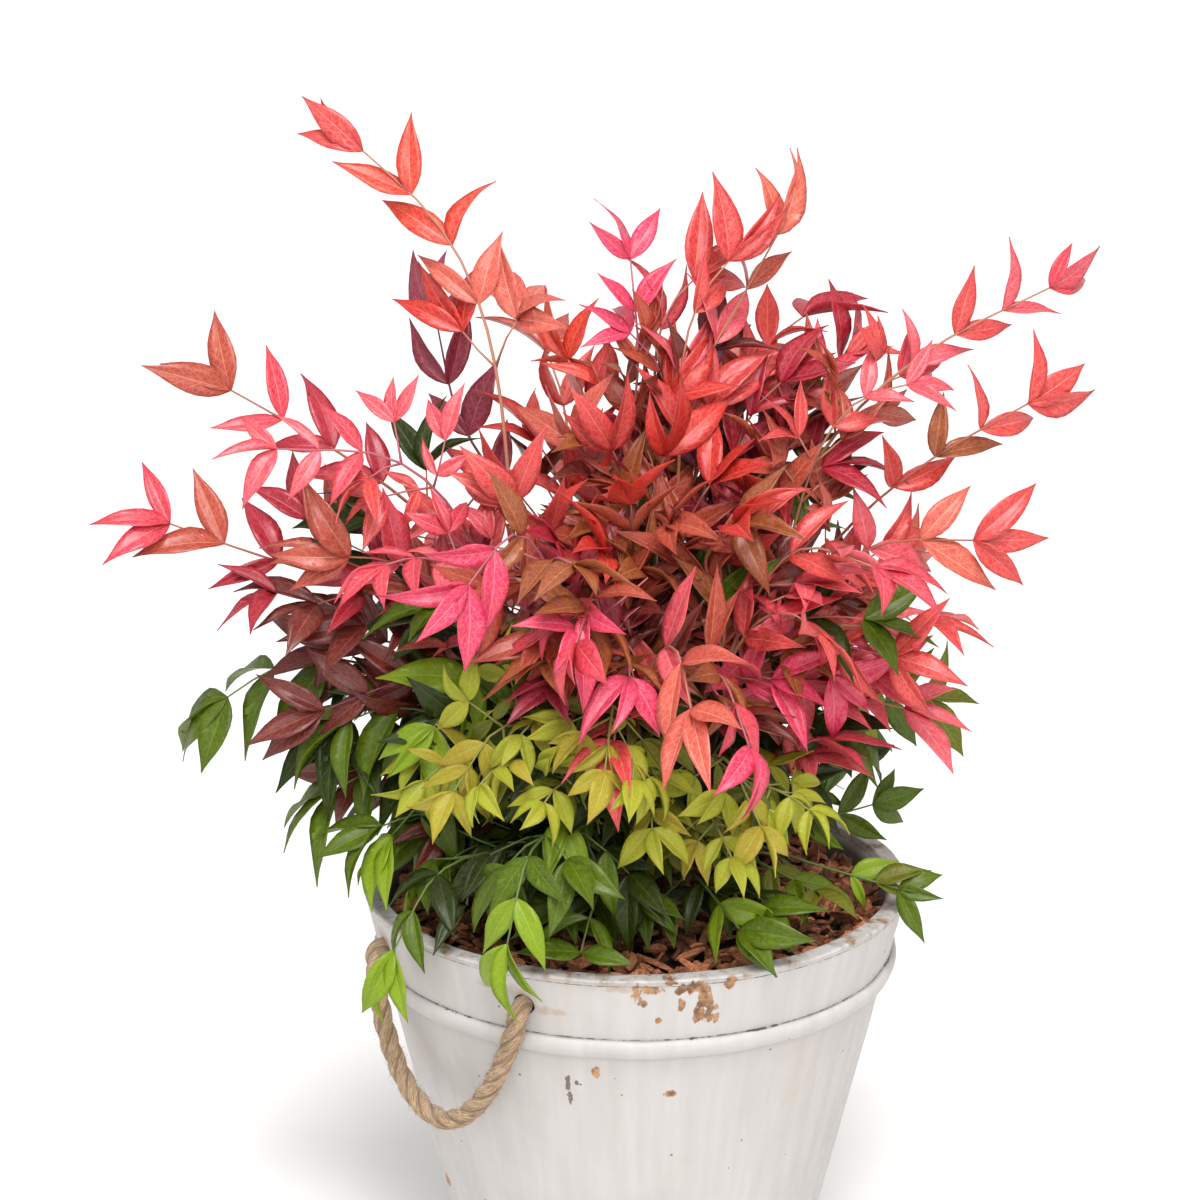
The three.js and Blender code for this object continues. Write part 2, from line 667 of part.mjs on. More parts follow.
// ---------------------------------------------------------------- the assembly
const finish = (color, roughness) => new THREE.MeshStandardMaterial({ color, roughness, metalness: 0 });
const shrub = new THREE.Group();
shrub.name = "heavenly_bamboo";

function add(name, geometry, material) {
  const mesh = new THREE.Mesh(geometry, material);
  mesh.name = name;
  shrub.add(mesh);
}

const limewash = finish(COLOURS.limewash, 0.7);
const jute = finish(COLOURS.jute, 0.95);
const bark = finish(COLOURS.cane, 0.85);
add("bucket", geometries.bucket, limewash);
add("hoop", geometries.hoop, limewash);
add("soil", geometries.soil, finish(COLOURS.soil, 1));
add("bark_mulch", geometries.mulch, finish(COLOURS.bark, 0.9));
geometries.ropes.forEach((rope, i) => add(`rope_handle_${i + 1}`, rope, jute));
geometries.canes.forEach((cane, i) => add(canes[i].name, cane, bark));
for (const spray of sprays)
  add(spray.name, geometryOf(spray.body), finish(COLOURS[spray.tint], 0.5));

export default shrub;
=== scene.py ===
"""The looks of a heavenly bamboo (Nandina) that grows in a limewashed wooden bucket with rope handles.

Everything is in metres, with the origin on the ground under the bucket. Sizes are written in
millimetres and multiplied by MM. The foliage grows by the same rule as the solids: canes, one arching
stalk for every spray, side twigs in pairs, and pointed leaflets in threes and pairs. Here the rule is
carried on to finer twigs and leaflets of their real size.
"""

import math
from collections import defaultdict

import bpy
import numpy as np
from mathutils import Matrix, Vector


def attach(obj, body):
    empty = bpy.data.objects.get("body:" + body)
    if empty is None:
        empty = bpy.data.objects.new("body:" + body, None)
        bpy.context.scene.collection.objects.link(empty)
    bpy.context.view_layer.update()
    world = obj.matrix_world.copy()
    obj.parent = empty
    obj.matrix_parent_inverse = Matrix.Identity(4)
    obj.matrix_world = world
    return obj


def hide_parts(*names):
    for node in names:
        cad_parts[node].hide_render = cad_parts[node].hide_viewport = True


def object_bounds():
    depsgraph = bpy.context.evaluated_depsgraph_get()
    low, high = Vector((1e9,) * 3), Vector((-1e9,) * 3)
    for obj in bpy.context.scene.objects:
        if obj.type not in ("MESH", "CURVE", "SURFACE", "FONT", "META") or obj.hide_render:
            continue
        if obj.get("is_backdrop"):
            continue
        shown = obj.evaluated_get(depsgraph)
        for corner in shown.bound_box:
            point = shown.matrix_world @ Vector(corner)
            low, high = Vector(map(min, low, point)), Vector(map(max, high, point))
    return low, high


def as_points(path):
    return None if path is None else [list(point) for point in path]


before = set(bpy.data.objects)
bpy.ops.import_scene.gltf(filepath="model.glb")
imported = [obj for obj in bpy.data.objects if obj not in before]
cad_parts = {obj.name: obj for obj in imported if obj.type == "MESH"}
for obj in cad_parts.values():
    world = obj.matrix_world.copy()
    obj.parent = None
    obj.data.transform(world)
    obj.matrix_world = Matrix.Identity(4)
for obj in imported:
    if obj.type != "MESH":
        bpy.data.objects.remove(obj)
CAD_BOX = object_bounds()


def by_mass(groups):
    """Turns a value with the names of its masses into a value for each mass."""
    return {mass: value for value, masses in groups.items() for mass in masses.split()}


# ---------------------------------------------------------------- driving sizes
MM = 0.001

CAMERA = {"place": (0.0, -1.86716, 1.00174), "down": 16.098, "aside": 0.670, "lens": 95.82, "sensor": 36.0}

BUCKET = {"height": 285 * MM, "rim": 170 * MM, "base": 102 * MM, "wall": 12 * MM, "floor": 14 * MM}
STAVES = 20
HOOP = {"top": 243 * MM, "height": 12 * MM, "depth": 4.8 * MM}
GAP = 0.3 * MM  # between parts that touch
SOIL_TOP = 263 * MM
MULCH_TOP = 274 * MM
ROPE = {"diameter": 12 * MM, "hole": 6.6 * MM, "lay": 44 * MM, "hole_z": 262 * MM}
HANDLE_ANGLES = (225.2, 45.2)

# One half of a handle: degrees from its middle, distance from the bucket's axis and height, in millimetres.
HANDLE_HALF = [
    (21.8, 153.5, 262),
    (21.8, 160.5, 262),
    (21.8, 168, 262),
    (21.6, 171.6, 258),
    (21, 172.2, 249),
    (19.8, 172.4, 238),
    (17.8, 172, 223),
    (14.8, 171, 206.5),
    (10.8, 169.5, 191),
    (5.8, 168, 179.5),
    (0, 167.5, 175),
]

CANE_HEIGHTS = [232, 176, 205, 180, 214, 186, 198]  # the first cane stands in the middle of the others
CANE_RING = 30 * MM
CANE_AZIMUTH = 12
CANE_LEAN = {"outer": 42 * MM, "upright": 6 * MM, "power": 1.6}
CANE_RADII = (4.4 * MM, 2.6 * MM)
UPRIGHT_REACH = 125  # sprays that reach no further than this grow from the middle cane
SPRAY_SHARES = (0.16, 0.9)  # how far up a cane its lowest and its highest side spray leave it

STALK = {"radii": (1.5 * MM, 0.55 * MM), "stub": 4 * MM, "handle": 0.36}
STALK_LIFT = {"extra": 28, "at_tip": 84, "at_side": 62}
ASIDE = [0, 10, -10, 20, -20, 32, -32, 45, -45, 60, -60]
TWIG_RADII = (0.85 * MM, 0.5 * MM)
SET_BACK = 0.9  # how far a stalk ends short of its spray's tip, as a share of a leaflet's length

# What differs from tint to tint: the length of a solid's leaflets and of the real ones that take their
# place, in millimetres, how much they rise or hang, the angle of a pair, a blade's width by its length,
# and the twigs' colour.
TINTS = {
    "red": {"solid": 90, "leaf": 52, "rise": 0.15, "angle": 46, "width": 0.34, "twig": "#a4604c"},
    "coral": {"solid": 88, "leaf": 53, "rise": 0.2, "angle": 44, "width": 0.34, "twig": "#b47860"},
    "rose": {"solid": 84, "leaf": 48, "rise": -0.1, "angle": 48, "width": 0.35, "twig": "#b4606a"},
    "wine": {"solid": 88, "leaf": 51, "rise": 0.2, "angle": 46, "width": 0.35, "twig": "#7c3c48"},
    "green": {"solid": 82, "leaf": 46, "rise": -0.15, "angle": 46, "width": 0.39, "twig": "#62783a"},
    "lime": {"solid": 66, "leaf": 30, "rise": -0.4, "angle": 62, "width": 0.4, "twig": "#8c8a48"},
}

# name, tint, degrees from +X, reach from the axis, rise above the rim, pitch of the tip in degrees
SPRAYS = [
    ("high_left", "coral", 169, 203, 477, 40),
    ("wine_left", "wine", 152, 148, 377, 78),
    ("upper_left", "red", 180, 283, 331, 30),
    ("pink_left", "rose", 201, 254, 294, 6),
    ("left", "red", 185, 323, 249, 22),
    ("dark_left", "wine", 174, 210, 168, 4),
    ("green_left", "green", 180, 295, 84, -35),
    ("green_low_left", "green", 188, 229, 41, -28),
    ("green_left_rim", "green", 202, 192, 13, -45),
    ("over_rim_left", "green", 222, 214, -34, -55),
    ("over_rim_front", "green", 248, 214, -10, -60),
    ("rim_front_right", "green", 294, 190, 10, -12),
    ("over_rim_right", "green", 338, 200, 12, -8),
    ("green_right", "green", 13, 186, 41, 12),
    ("green_upper_right", "green", 8, 223, 108, 0),
    ("pink_right", "rose", 331, 214, 165, -4),
    ("right", "red", 358, 250, 218, 0),
    ("upper_right", "red", 0, 274, 324, 30),
    ("high_right", "coral", 6, 281, 381, 25),
    ("top_right", "coral", 14, 110, 440, 60),
    ("top_middle", "rose", 200, 8, 424, 84),
    ("crimson_right", "red", 22, 166, 350, 46),
    ("pink_front", "rose", 259, 214, 187, -20),
    ("pink_front_right", "coral", 280, 218, 140, -32),
    ("pink_low", "rose", 291, 212, 112, -40),
    ("rose_front_left", "rose", 242, 236, 218, -25),
    ("middle_front", "red", 258, 128, 257, 35),
    ("heart_left", "red", 228, 140, 290, 40),
    ("heart_right", "red", 302, 145, 278, 38),
    ("coral_front_right", "coral", 322, 220, 222, -8),
    ("low_left", "wine", 194, 236, 108, -18),
    ("right_low", "coral", 346, 214, 116, -8),
    ("top_left", "coral", 164, 62, 368, 66),
    ("lime_left", "lime", 234, 198, 88, -38),
    ("lime_front", "lime", 264, 186, 109, -35),
    ("lime_right", "lime", 297, 180, 67, -38),
    ("green_front_left", "green", 215, 180, 92, -42),
    ("green_low_right", "green", 319, 172, 20, -10),
    ("green_front", "green", 250, 160, 58, -28),
]

# name, tint, degrees from +X of its sprays, reach, rise, pitch; neighbours differ by the swing
FAR_RINGS = [
    ("far_low", "green", (55, 97, 139), 212, 28, -24),
    ("far_middle", "red", (40, 86, 132), 262, 182, 4),
    ("far_high", "coral", (62, 118), 178, 340, 34),
]
FAR_SWING = {"reach": 12, "rise": 16}

# The masses whose leaflets are larger or smaller than usual, and by how much.
GROWN = by_mass(
    {
        1.3: "green_left",
        1.2: "green_low_left",
        1.15: "green_front_left green_left_rim",
        0.85: "top_middle",
        0.8: "green_right",
        0.75: "pink_left high_right green_low_right",
        0.7: "over_rim_right",
    }
)

# The share of its stalk that a spray leaves bare, and those of the sprays that differ.
BARE_SHARE = 0.3
BARE = {"over_rim_right": 0.78, "green_right": 0.62, "upper_right": 0.66, "green_low_right": 0.5}

# Besides its main stalk a mass has smaller compound leaves below and beside it. Each is turned aside by
# so many degrees, reaches so far as a share of the mass's reach, and rises so many millimetres more or
# less.
COMPANIONS = {
    "red": [(11, 0.84, -34), (-13, 0.7, -14), (5, 0.56, -50)],
    "coral": [(-12, 0.84, -30), (12, 0.7, -50), (-4, 0.56, -20)],
    "rose": [(12, 0.86, -24), (-14, 0.72, -8)],
    "wine": [(-11, 0.85, -36), (13, 0.7, -60)],
    "green": [(12, 0.86, 4), (-13, 0.72, 10), (4, 0.56, -6), (-25, 0.64, 0), (25, 0.9, -4)],
    "lime": [(9, 1.0, 8), (-10, 0.98, -6), (-20, 0.9, 4)],
}
COMPANION = {"reach": 222, "lowest": 4, "pitch": 0.6, "size": 0.94, "below": 0.07, "step": 0.05}
COMPANION_TOP = {"middle": 268, "side": 50}
COMPANION_DEPTH = {"first": 30 * MM, "step": 25 * MM}
SCATTER = {"turn": 8, "reach": 0.12, "rise": 20, "pitch": 24, "top": 30}  # how companions differ by chance
LONE_RISE = 290  # a mass whose tip is higher than this has one small companion

# The masses with fewer companions than that, by their number.
FEWER = by_mass(
    {
        0: "green_right over_rim_right right_low pink_low green_low_right wine_left high_left upper_right",
        1: "rim_front_right pink_front_right pink_left",
        2: "green_upper_right",
    }
)

# Masses with companions of their own, which may rise as high as they do.
OWN_COMPANIONS = {
    "crimson_right": [(11, 1.0, -4), (-16, 0.9, -78), (-10, 0.75, -20), (5, 0.56, -10)],
    "high_right": [(12, 0.6, -52), (-9, 0.7, -66)],
    "top_right": [(-14, 0.8, -14), (12, 0.7, -50)],
    "top_middle": [(-20, 4.0, -60), (160, 3.0, -50)],
    "top_left": [(-12, 0.84, -34), (-60, 0.7, -10), (30, 0.5, -24)],
    "right": [(9, 0.8, -30), (-14, 0.9, -50), (-4, 0.62, -20)],
    "low_left": [(-10, 0.97, 26), (-11, 0.85, -36), (13, 0.7, -60)],
}

# The higher a mass, the further apart its nodes and the shorter its twigs, between two rises.
OPENING = {"from": 220, "to": 370, "step": 0.2, "twig": 0.5, "bare": 0.16}
DENSE = ("crimson_right", "right")  # high masses that are as dense as the low ones

# Short leaves that fill the heart of the clump, on every cane: how many, how long and how high.
HEART = {"per_cane": 9, "reach": (70, 120), "rise": (-4, 60), "size": 0.9, "first": 0.12, "span": 0.84}
HEART_LINE = 120 * MM  # the height above the rim from which they are red
GOLDEN_TURN = 137.5  # degrees from one leaf to the next round a cane

# Leaves that round off the top of the clump: how many, how far out and how high above the rim.
CROWN = {"count": 15, "reach": (40, 125), "rise": (330, 255), "side": 30, "pitch": 50, "start": 25}
CROWN_SHARES = (0.5, 0.9)

# Where the random streams start.
SEEDS = {
    "fibres": 900,
    "chips": 77,
    "mass": 11,
    "companion": 1000,
    "heart_place": 5000,
    "heart": 7000,
    "crown_place": 9000,
    "crown": 9500,
}

# The shades of each tint's leaves: the colours of the blade, the veins and the tip.
SHADES = {
    "red": {
        "scarlet": ("#c82018", "#e67e66", "#a4141a"),
        "crimson": ("#aa1428", "#d4606a", "#860a24"),
        "brick": ("#b03e2a", "#dc8e70", "#8c2a20"),
        "oxblood": ("#6a1d15", "#a85a48", "#501411"),
        "russet": ("#96441e", "#d09060", "#763418"),
    },
    "coral": {
        "coral": ("#d03a38", "#ee9282", "#b4242e"),
        "salmon": ("#d05c48", "#ecaa92", "#bc3c36"),
        "vermilion": ("#d4381e", "#ec9078", "#bc2018"),
    },
    "rose": {
        "hot_pink": ("#da3054", "#f494a4", "#c41848"),
        "blush": ("#e0505a", "#f6a6a4", "#c42c44"),
        "rose": ("#d23446", "#ee8e8e", "#b61c38"),
        "raspberry": ("#a01b33", "#d07278", "#840e2c"),
    },
    "wine": {
        "burgundy": ("#92263a", "#c87078", "#741834"),
        "plum": ("#662238", "#9c6272", "#4c162c"),
    },
    "green": {
        "deep_green": ("#232e04", "#647a26", "#1b2503"),
        "green": ("#4b5f06", "#88a034", "#3c4c06"),
        "fresh_green": ("#6c880f", "#b0c64a", "#82961c"),
    },
    "lime": {
        "olive": ("#525e0e", "#9ca248", "#685a18"),
        "lime": ("#8b9a1e", "#c8ce62", "#a6902e"),
        "gold": ("#969620", "#cacc6a", "#ac7832"),
    },
}

# What a spray is made of: the shades of its outermost leaflets, then those of two zones further in.
PALETTES = {
    "red": "scarlet coral coral blush, scarlet russet brick coral, oxblood russet oxblood deep_green",
    "crimson": "crimson scarlet coral, crimson scarlet brick, oxblood crimson plum",
    "deep_red": "rose coral brick, crimson brick rose, oxblood crimson deep_green",
    "coral": "coral salmon brick, coral blush brick, coral brick oxblood",
    "pale_red": "coral blush rose, blush coral rose, coral green brick",
    "flame": "coral salmon vermilion, salmon vermilion coral, scarlet salmon",
    "rose": "hot_pink rose, brick rose russet, raspberry brick oxblood",
    "pink": "hot_pink blush rose, blush rose coral, rose coral brick",
    "bright_pink": "hot_pink rose coral, hot_pink coral blush, coral brick rose",
    "dusty": "russet brick scarlet, russet oxblood brick, oxblood oxblood deep_green",
    "dark_red": "oxblood brick oxblood, oxblood, oxblood deep_green",
    "wine": "burgundy raspberry, burgundy crimson burgundy, burgundy plum",
    "green": "fresh_green green, green deep_green, deep_green",
    "shade_green": "green fresh_green olive, green deep_green, deep_green",
    "lime": "gold lime, lime olive olive, deep_green olive",
}
HEART_PALETTES = {"high": "russet oxblood deep_green green", "low": "deep_green green deep_green"}

# The masses that don't wear the palette of their own tint.
WEARS = by_mass(
    {
        "flame": "high_left top_left",
        "pale_red": "high_right right_low coral_front_right",
        "deep_red": "left upper_left",
        "pink": "pink_left",
        "bright_pink": "pink_right",
        "dark_red": "dark_left low_left",
        "dusty": "middle_front heart_right",
        "crimson": "heart_left crimson_right",
        "coral": "right",
        "shade_green": "over_rim_right green_right green_upper_right green_low_right",
    }
)
ZONES = (50 * MM, 105 * MM)

# A leaflet is darker the more others lie outside it, seen from the heart of the crown. This is painted shade
# for the inside of the crown, added to the darker, greener colour that leaves grown in shade really have.
COVER_SHADE = {"heart": (0.0, 0.0, 345 * MM), "ahead": 4 * MM, "aside": 25 * MM, "zones": (3, 8)}


# ---------------------------------------------------------------- small helpers
def around(degrees, radius, z):
    turn = math.radians(degrees)
    return np.array([radius * math.cos(turn), radius * math.sin(turn), z])


def unit(vector):
    return vector / np.linalg.norm(vector)


def between(ends, share):
    """What lies at a share of the way from the first end to the second."""
    return ends[0] + (ends[1] - ends[0]) * share


def circle(count):
    """The angles of evenly spaced points round a circle."""
    return np.linspace(0, 2 * np.pi, count, endpoint=False)


def dice(seed):
    """A repeatable stream of numbers from 0 to 1, the same as in the solids."""
    state = (seed * 2654435761) & 0xFFFFFFFF

    def roll():
        nonlocal state
        state = (state * 1664525 + 1013904223) & 0xFFFFFFFF
        return state / 4294967296

    return roll


def turned_about(vector, axis, angle):
    c, s = math.cos(angle), math.sin(angle)
    return vector * c + np.cross(axis, vector) * s + axis * (vector @ axis) * (1 - c)


def linear(colour):
    """A colour written as #rrggbb, in the linear numbers that shaders take."""
    parts = [int(colour[i : i + 2], 16) / 255 for i in (1, 3, 5)]
    return tuple(p / 12.92 if p <= 0.04045 else ((p + 0.055) / 1.055) ** 2.4 for p in parts) + (1.0,)


def mixed_colour(first, second, share):
    parts = [(int(first[i : i + 2], 16), int(second[i : i + 2], 16)) for i in (1, 3, 5)]
    return "#" + "".join(f"{round(a + (b - a) * share):02x}" for a, b in parts)


class Line:
    """A polyline that gives the point and the direction at a distance from its start."""

    def __init__(self, points):
        self.points = np.array(points)
        steps = np.linalg.norm(np.diff(self.points, axis=0), axis=1)
        self.lengths = np.concatenate([[0], np.cumsum(steps)])
        self.length = self.lengths[-1]

    def at(self, distance):
        distance = min(max(distance, 0), self.length)
        return np.array([np.interp(distance, self.lengths, self.points[:, k]) for k in range(3)])

    def along(self, distance, reach=3 * MM):
        return unit(self.at(distance + reach) - self.at(distance - reach))


def smooth_through(points, count):
    """A Catmull-Rom curve through the points, at evenly spaced places."""
    points = np.array(points)
    ends = np.vstack([2 * points[0] - points[1], points, 2 * points[-1] - points[-2]])
    fine = []
    for i in range(1, len(ends) - 2):
        a, b, c, d = ends[i - 1 : i + 3]
        for t in np.linspace(0, 1, 24, endpoint=False):
            curve = 2 * b + (c - a) * t + (2 * a - 5 * b + 4 * c - d) * t**2 + (3 * b - a - 3 * c + d) * t**3
            fine.append(curve / 2)
    line = Line(fine + [points[-1]])
    return np.array([line.at(line.length * k / (count - 1)) for k in range(count)])


# ---------------------------------------------------------------- meshes
OWN_MAP = "OFBake"


def placed(name, data, place=(0, 0, 0), turn=(0, 0, 0)):
    """Puts a mesh, a camera or a lamp into the scene."""
    thing = bpy.data.objects.new(name, data)
    thing.location = place
    thing.rotation_euler = turn
    bpy.context.scene.collection.objects.link(thing)
    return thing


def piece_from(name, points, groups, material=None, spots=None):
    """A mesh object. A group is (faces as rows of corner numbers, smooth); spots are places on the map."""
    mesh = bpy.data.meshes.new(name)
    mesh.vertices.add(len(points))
    mesh.vertices.foreach_set("co", np.asarray(points, np.float32).ravel())
    corners = np.concatenate([np.ravel(faces) for faces, _ in groups])
    sizes = np.concatenate([np.full(len(faces), np.shape(faces)[1]) for faces, _ in groups])
    mesh.loops.add(len(corners))
    mesh.loops.foreach_set("vertex_index", corners.astype(np.int32))
    mesh.polygons.add(len(sizes))
    mesh.polygons.foreach_set("loop_start", (np.cumsum(sizes) - sizes).astype(np.int32))
    mesh.update(calc_edges=True)
    smoothed = np.concatenate([np.full(len(faces), smooth) for faces, smooth in groups])
    mesh.polygons.foreach_set("use_smooth", smoothed)
    if material:
        mesh.materials.append(material)
    if spots is not None:
        mesh.uv_layers.new(name=OWN_MAP).data.foreach_set("uv", np.asarray(spots, np.float32).ravel())
    mesh.update()
    return placed(name, mesh)


def seat(piece, slot, *nodes):
    """The piece rides on the plant's body and stands for the nodes, which it hides. The slot is not used."""
    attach(piece, "root")
    if nodes:
        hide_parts(*nodes)


def grid_faces(rows, columns, closed):
    """Quads of a grid whose points go row by row; closed joins the last column to the first."""
    i, j = np.meshgrid(np.arange(rows - 1), np.arange(columns if closed else columns - 1), indexing="ij")
    a = i * columns + j
    b = i * columns + (j + 1) % columns
    return np.stack([a, b, b + columns, a + columns], -1).reshape(-1, 4)


def copies(faces, count, size):
    """The same faces for each of many shapes that have so many points."""
    starts = np.arange(count)[:, None, None] * size
    return (faces + starts).reshape(-1, faces.shape[1])


def ring_frames(points):
    """For every point of a line, the direction along it and two directions across it, free of twist."""
    points = np.asarray(points)
    along = np.gradient(points, axis=0)
    along /= np.linalg.norm(along, axis=1)[:, None]
    across = np.zeros_like(points)
    start = np.array([0, 0, 1.0]) if abs(along[0][2]) < 0.9 else np.array([1.0, 0, 0])
    for i, way in enumerate(along):
        start = unit(start - way * (start @ way))
        across[i] = start
    return along, across, np.cross(along, across)


def tube_points(line, radius, sides, twist=0.0):
    """The rings of a tube round a line. The radius is a grid of rings by sides, or by 1."""
    _, across, third = ring_frames(line)
    turn = (circle(sides) + np.reshape(twist, (-1, 1)))[:, :, None]
    out = across[:, None] * np.cos(turn) + third[:, None] * np.sin(turn)
    return (np.asarray(line)[:, None] + out * np.asarray(radius)[:, :, None]).reshape(-1, 3)


def tube_faces(rings, sides, smooth=True):
    """The groups of faces of a tube's wall and of its two ends."""
    ends = np.array([np.arange(sides)[::-1], (rings - 1) * sides + np.arange(sides)])
    return [(grid_faces(rings, sides, True), smooth), (ends, False)]


class Tubes:
    """Many thin tapering tubes, joined into one mesh."""

    def __init__(self, sides):
        self.sides = sides
        self.points = []
        self.walls = []
        self.ends = []
        self.count = 0

    def add(self, line, radii):
        self.points.append(tube_points(line, np.reshape(radii, (-1, 1)), self.sides))
        for faces, (group, _) in zip((self.walls, self.ends), tube_faces(len(line), self.sides)):
            faces.append(group + self.count)
        self.count += len(self.points[-1])

    def piece(self, name, material):
        groups = [(np.concatenate(self.walls), True), (np.concatenate(self.ends), False)]
        return piece_from(name, np.concatenate(self.points), groups, material)


def lathe(name, profile, segments, material, shape=None):
    """A profile turned round the Z axis: it has both ends on the axis, or it closes on itself."""
    profile = np.array(profile)
    on_axis = profile[0][0] == 0
    body = profile[1:-1] if on_axis else profile
    turn = circle(segments)
    radius, height = (np.repeat(body[:, k : k + 1], segments, 1) for k in (0, 1))
    if shape:
        radius, height = shape(radius, height, turn[None, :])
    points = np.stack([radius * np.cos(turn), radius * np.sin(turn), height], -1).reshape(-1, 3)
    groups = [(grid_faces(len(body), segments, True), True)]
    first = np.arange(segments)
    beside = (first + 1) % segments
    last = (len(body) - 1) * segments
    if on_axis:
        middle = np.full(segments, len(points))
        points = np.vstack([points, [[0, 0, profile[0][1]], [0, 0, profile[-1][1]]]])
        groups.append((np.stack([middle, beside, first], -1), True))
        groups.append((np.stack([middle + 1, last + first, last + beside], -1), True))
    else:
        groups.append((np.stack([last + first, last + beside, beside, first], -1), True))
    return piece_from(name, points, groups, material)


def waves(turn, height, seed, count=9):
    """A smooth uneven surface over the turn and the height, from -1 to 1."""
    roll = dice(seed)
    total = np.zeros(np.broadcast(turn, height).shape)
    for _ in range(count):
        lobes = 2 + int(roll() * 22)
        total += np.sin(lobes * turn + 2 * np.pi * roll() + height / MM * 0.06 * (roll() - 0.5) * lobes)
    return total / count * 1.6


# ---------------------------------------------------------------- shader helpers
class Value:
    """What a shader's socket gives. Arithmetic with it makes Math nodes."""

    def __init__(self, shader, socket):
        self.shader = shader
        self.socket = socket

    def math(self, kind, other=0.5):
        return self.shader.value("ShaderNodeMath", "Value", (0, self), (1, other), operation=kind)

    def __add__(self, other):
        return self.math("ADD", other)

    def __sub__(self, other):
        return self.math("SUBTRACT", other)

    def __mul__(self, other):
        return self.math("MULTIPLY", other)

    def __truediv__(self, other):
        return self.math("DIVIDE", other)

    def __abs__(self):
        return self.math("ABSOLUTE")

    def ramp(self, low, high, first=0.0, last=1.0):
        """Runs from first to last while the value runs from low to high."""
        ends = [("From Min", low), ("From Max", high), ("To Min", first), ("To Max", last)]
        return self.shader.value("ShaderNodeMapRange", "Result", ("Value", self), *ends)


class Shader:
    """A material of one Principled shader, with short calls for the nodes that feed it."""

    def __init__(self, name, colour, roughness, **constants):
        self.material = bpy.data.materials.new(name)
        self.material.use_nodes = True
        self.tree = self.material.node_tree
        self.surface = self.tree.nodes["Principled BSDF"]
        self.feed("Base Color", colour)
        self.feed("Roughness", roughness)
        for name, value in constants.items():
            self.feed(name.replace("_", " "), value)

    def feed(self, name, value, node=None):
        """Gives a node's socket, or the surface's own, a value, a plain number or a colour."""
        socket = (node or self.surface).inputs[name]
        if isinstance(value, Value):
            self.tree.links.new(value.socket, socket)
        else:
            socket.default_value = linear(value) if isinstance(value, str) else value

    def node(self, kind, *sockets, **settings):
        node = self.tree.nodes.new(kind)
        for name, setting in settings.items():
            setattr(node, name, setting)
        for name, value in sockets:
            self.feed(name, value, node)
        return node

    def value(self, kind, output, *sockets, **settings):
        return Value(self, self.node(kind, *sockets, **settings).outputs[output])

    def place(self):
        return self.value("ShaderNodeTexCoord", "Object")

    def own_map(self):
        return self.value("ShaderNodeUVMap", "UV", uv_map=OWN_MAP)

    def axes(self, vector):
        return [Value(self, socket) for socket in self.node("ShaderNodeSeparateXYZ", (0, vector)).outputs]

    def stretched(self, vector, scale):
        return self.value("ShaderNodeMapping", "Vector", ("Vector", vector), ("Scale", scale))

    def vector(self, kind, a, b=(0.0, 0.0, 0.0)):
        return self.value("ShaderNodeVectorMath", "Vector", (0, a), (1, b), operation=kind)

    def noise(self, vector, scale, detail=3.0, roughness=0.55):
        sockets = [("Vector", vector), ("Scale", scale), ("Detail", detail), ("Roughness", roughness)]
        return self.value("ShaderNodeTexNoise", "Fac", *sockets)

    def cells(self, vector, scale, **settings):
        sockets = [("Vector", vector), ("Scale", scale)]
        return self.value("ShaderNodeTexVoronoi", "Distance", *sockets, **settings)

    def mix(self, share, first, second):
        """A colour between two others, in the middle of the sockets that a Mix node has for colours."""
        return self.value("ShaderNodeMix", 2, ("Factor", share), (6, first), (7, second), data_type="RGBA")

    def bump(self, height, strength, depth):
        sockets = [("Height", height), ("Strength", strength), ("Distance", depth)]
        self.feed("Normal", self.value("ShaderNodeBump", "Normal", *sockets))


# ---------------------------------------------------------------- camera
def make_camera():
    data = bpy.data.cameras.new("camera")
    data.lens = CAMERA["lens"]
    data.sensor_width = CAMERA["sensor"]
    data.sensor_fit = "HORIZONTAL"
    turn = (math.radians(90 - CAMERA["down"]), 0, math.radians(CAMERA["aside"]))
    bpy.context.scene.camera = placed("camera", data, CAMERA["place"], turn)


# ---------------------------------------------------------------- rope handles
LAID = {"strands": 3, "radius": 3.9 * MM, "offset": 2.2 * MM, "yarns": 2, "yarn_depth": 0.4 * MM}
ROPE_GRID = {"rings": 360, "sides": 54}

# Loose hairs: where they start and how far they may reach from the rope's middle, how far they stay off
# the bucket, and how many rings at each end of the rope have none.
FIBRES = {
    "count": 1500,
    "length": (3 * MM, 8 * MM),
    "radius": 0.06 * MM,
    "start": 5.2 * MM,
    "reach": 9 * MM,
    "clear": 1.5 * MM,
    "bare_rings": 12,
}


def handle_route(middle):
    half = [around(middle - turn, radius * MM, z * MM) for turn, radius, z in HANDLE_HALF]
    other = [around(middle + turn, radius * MM, z * MM) for turn, radius, z in HANDLE_HALF[:-1]]
    return smooth_through(half + other[::-1], ROPE_GRID["rings"])


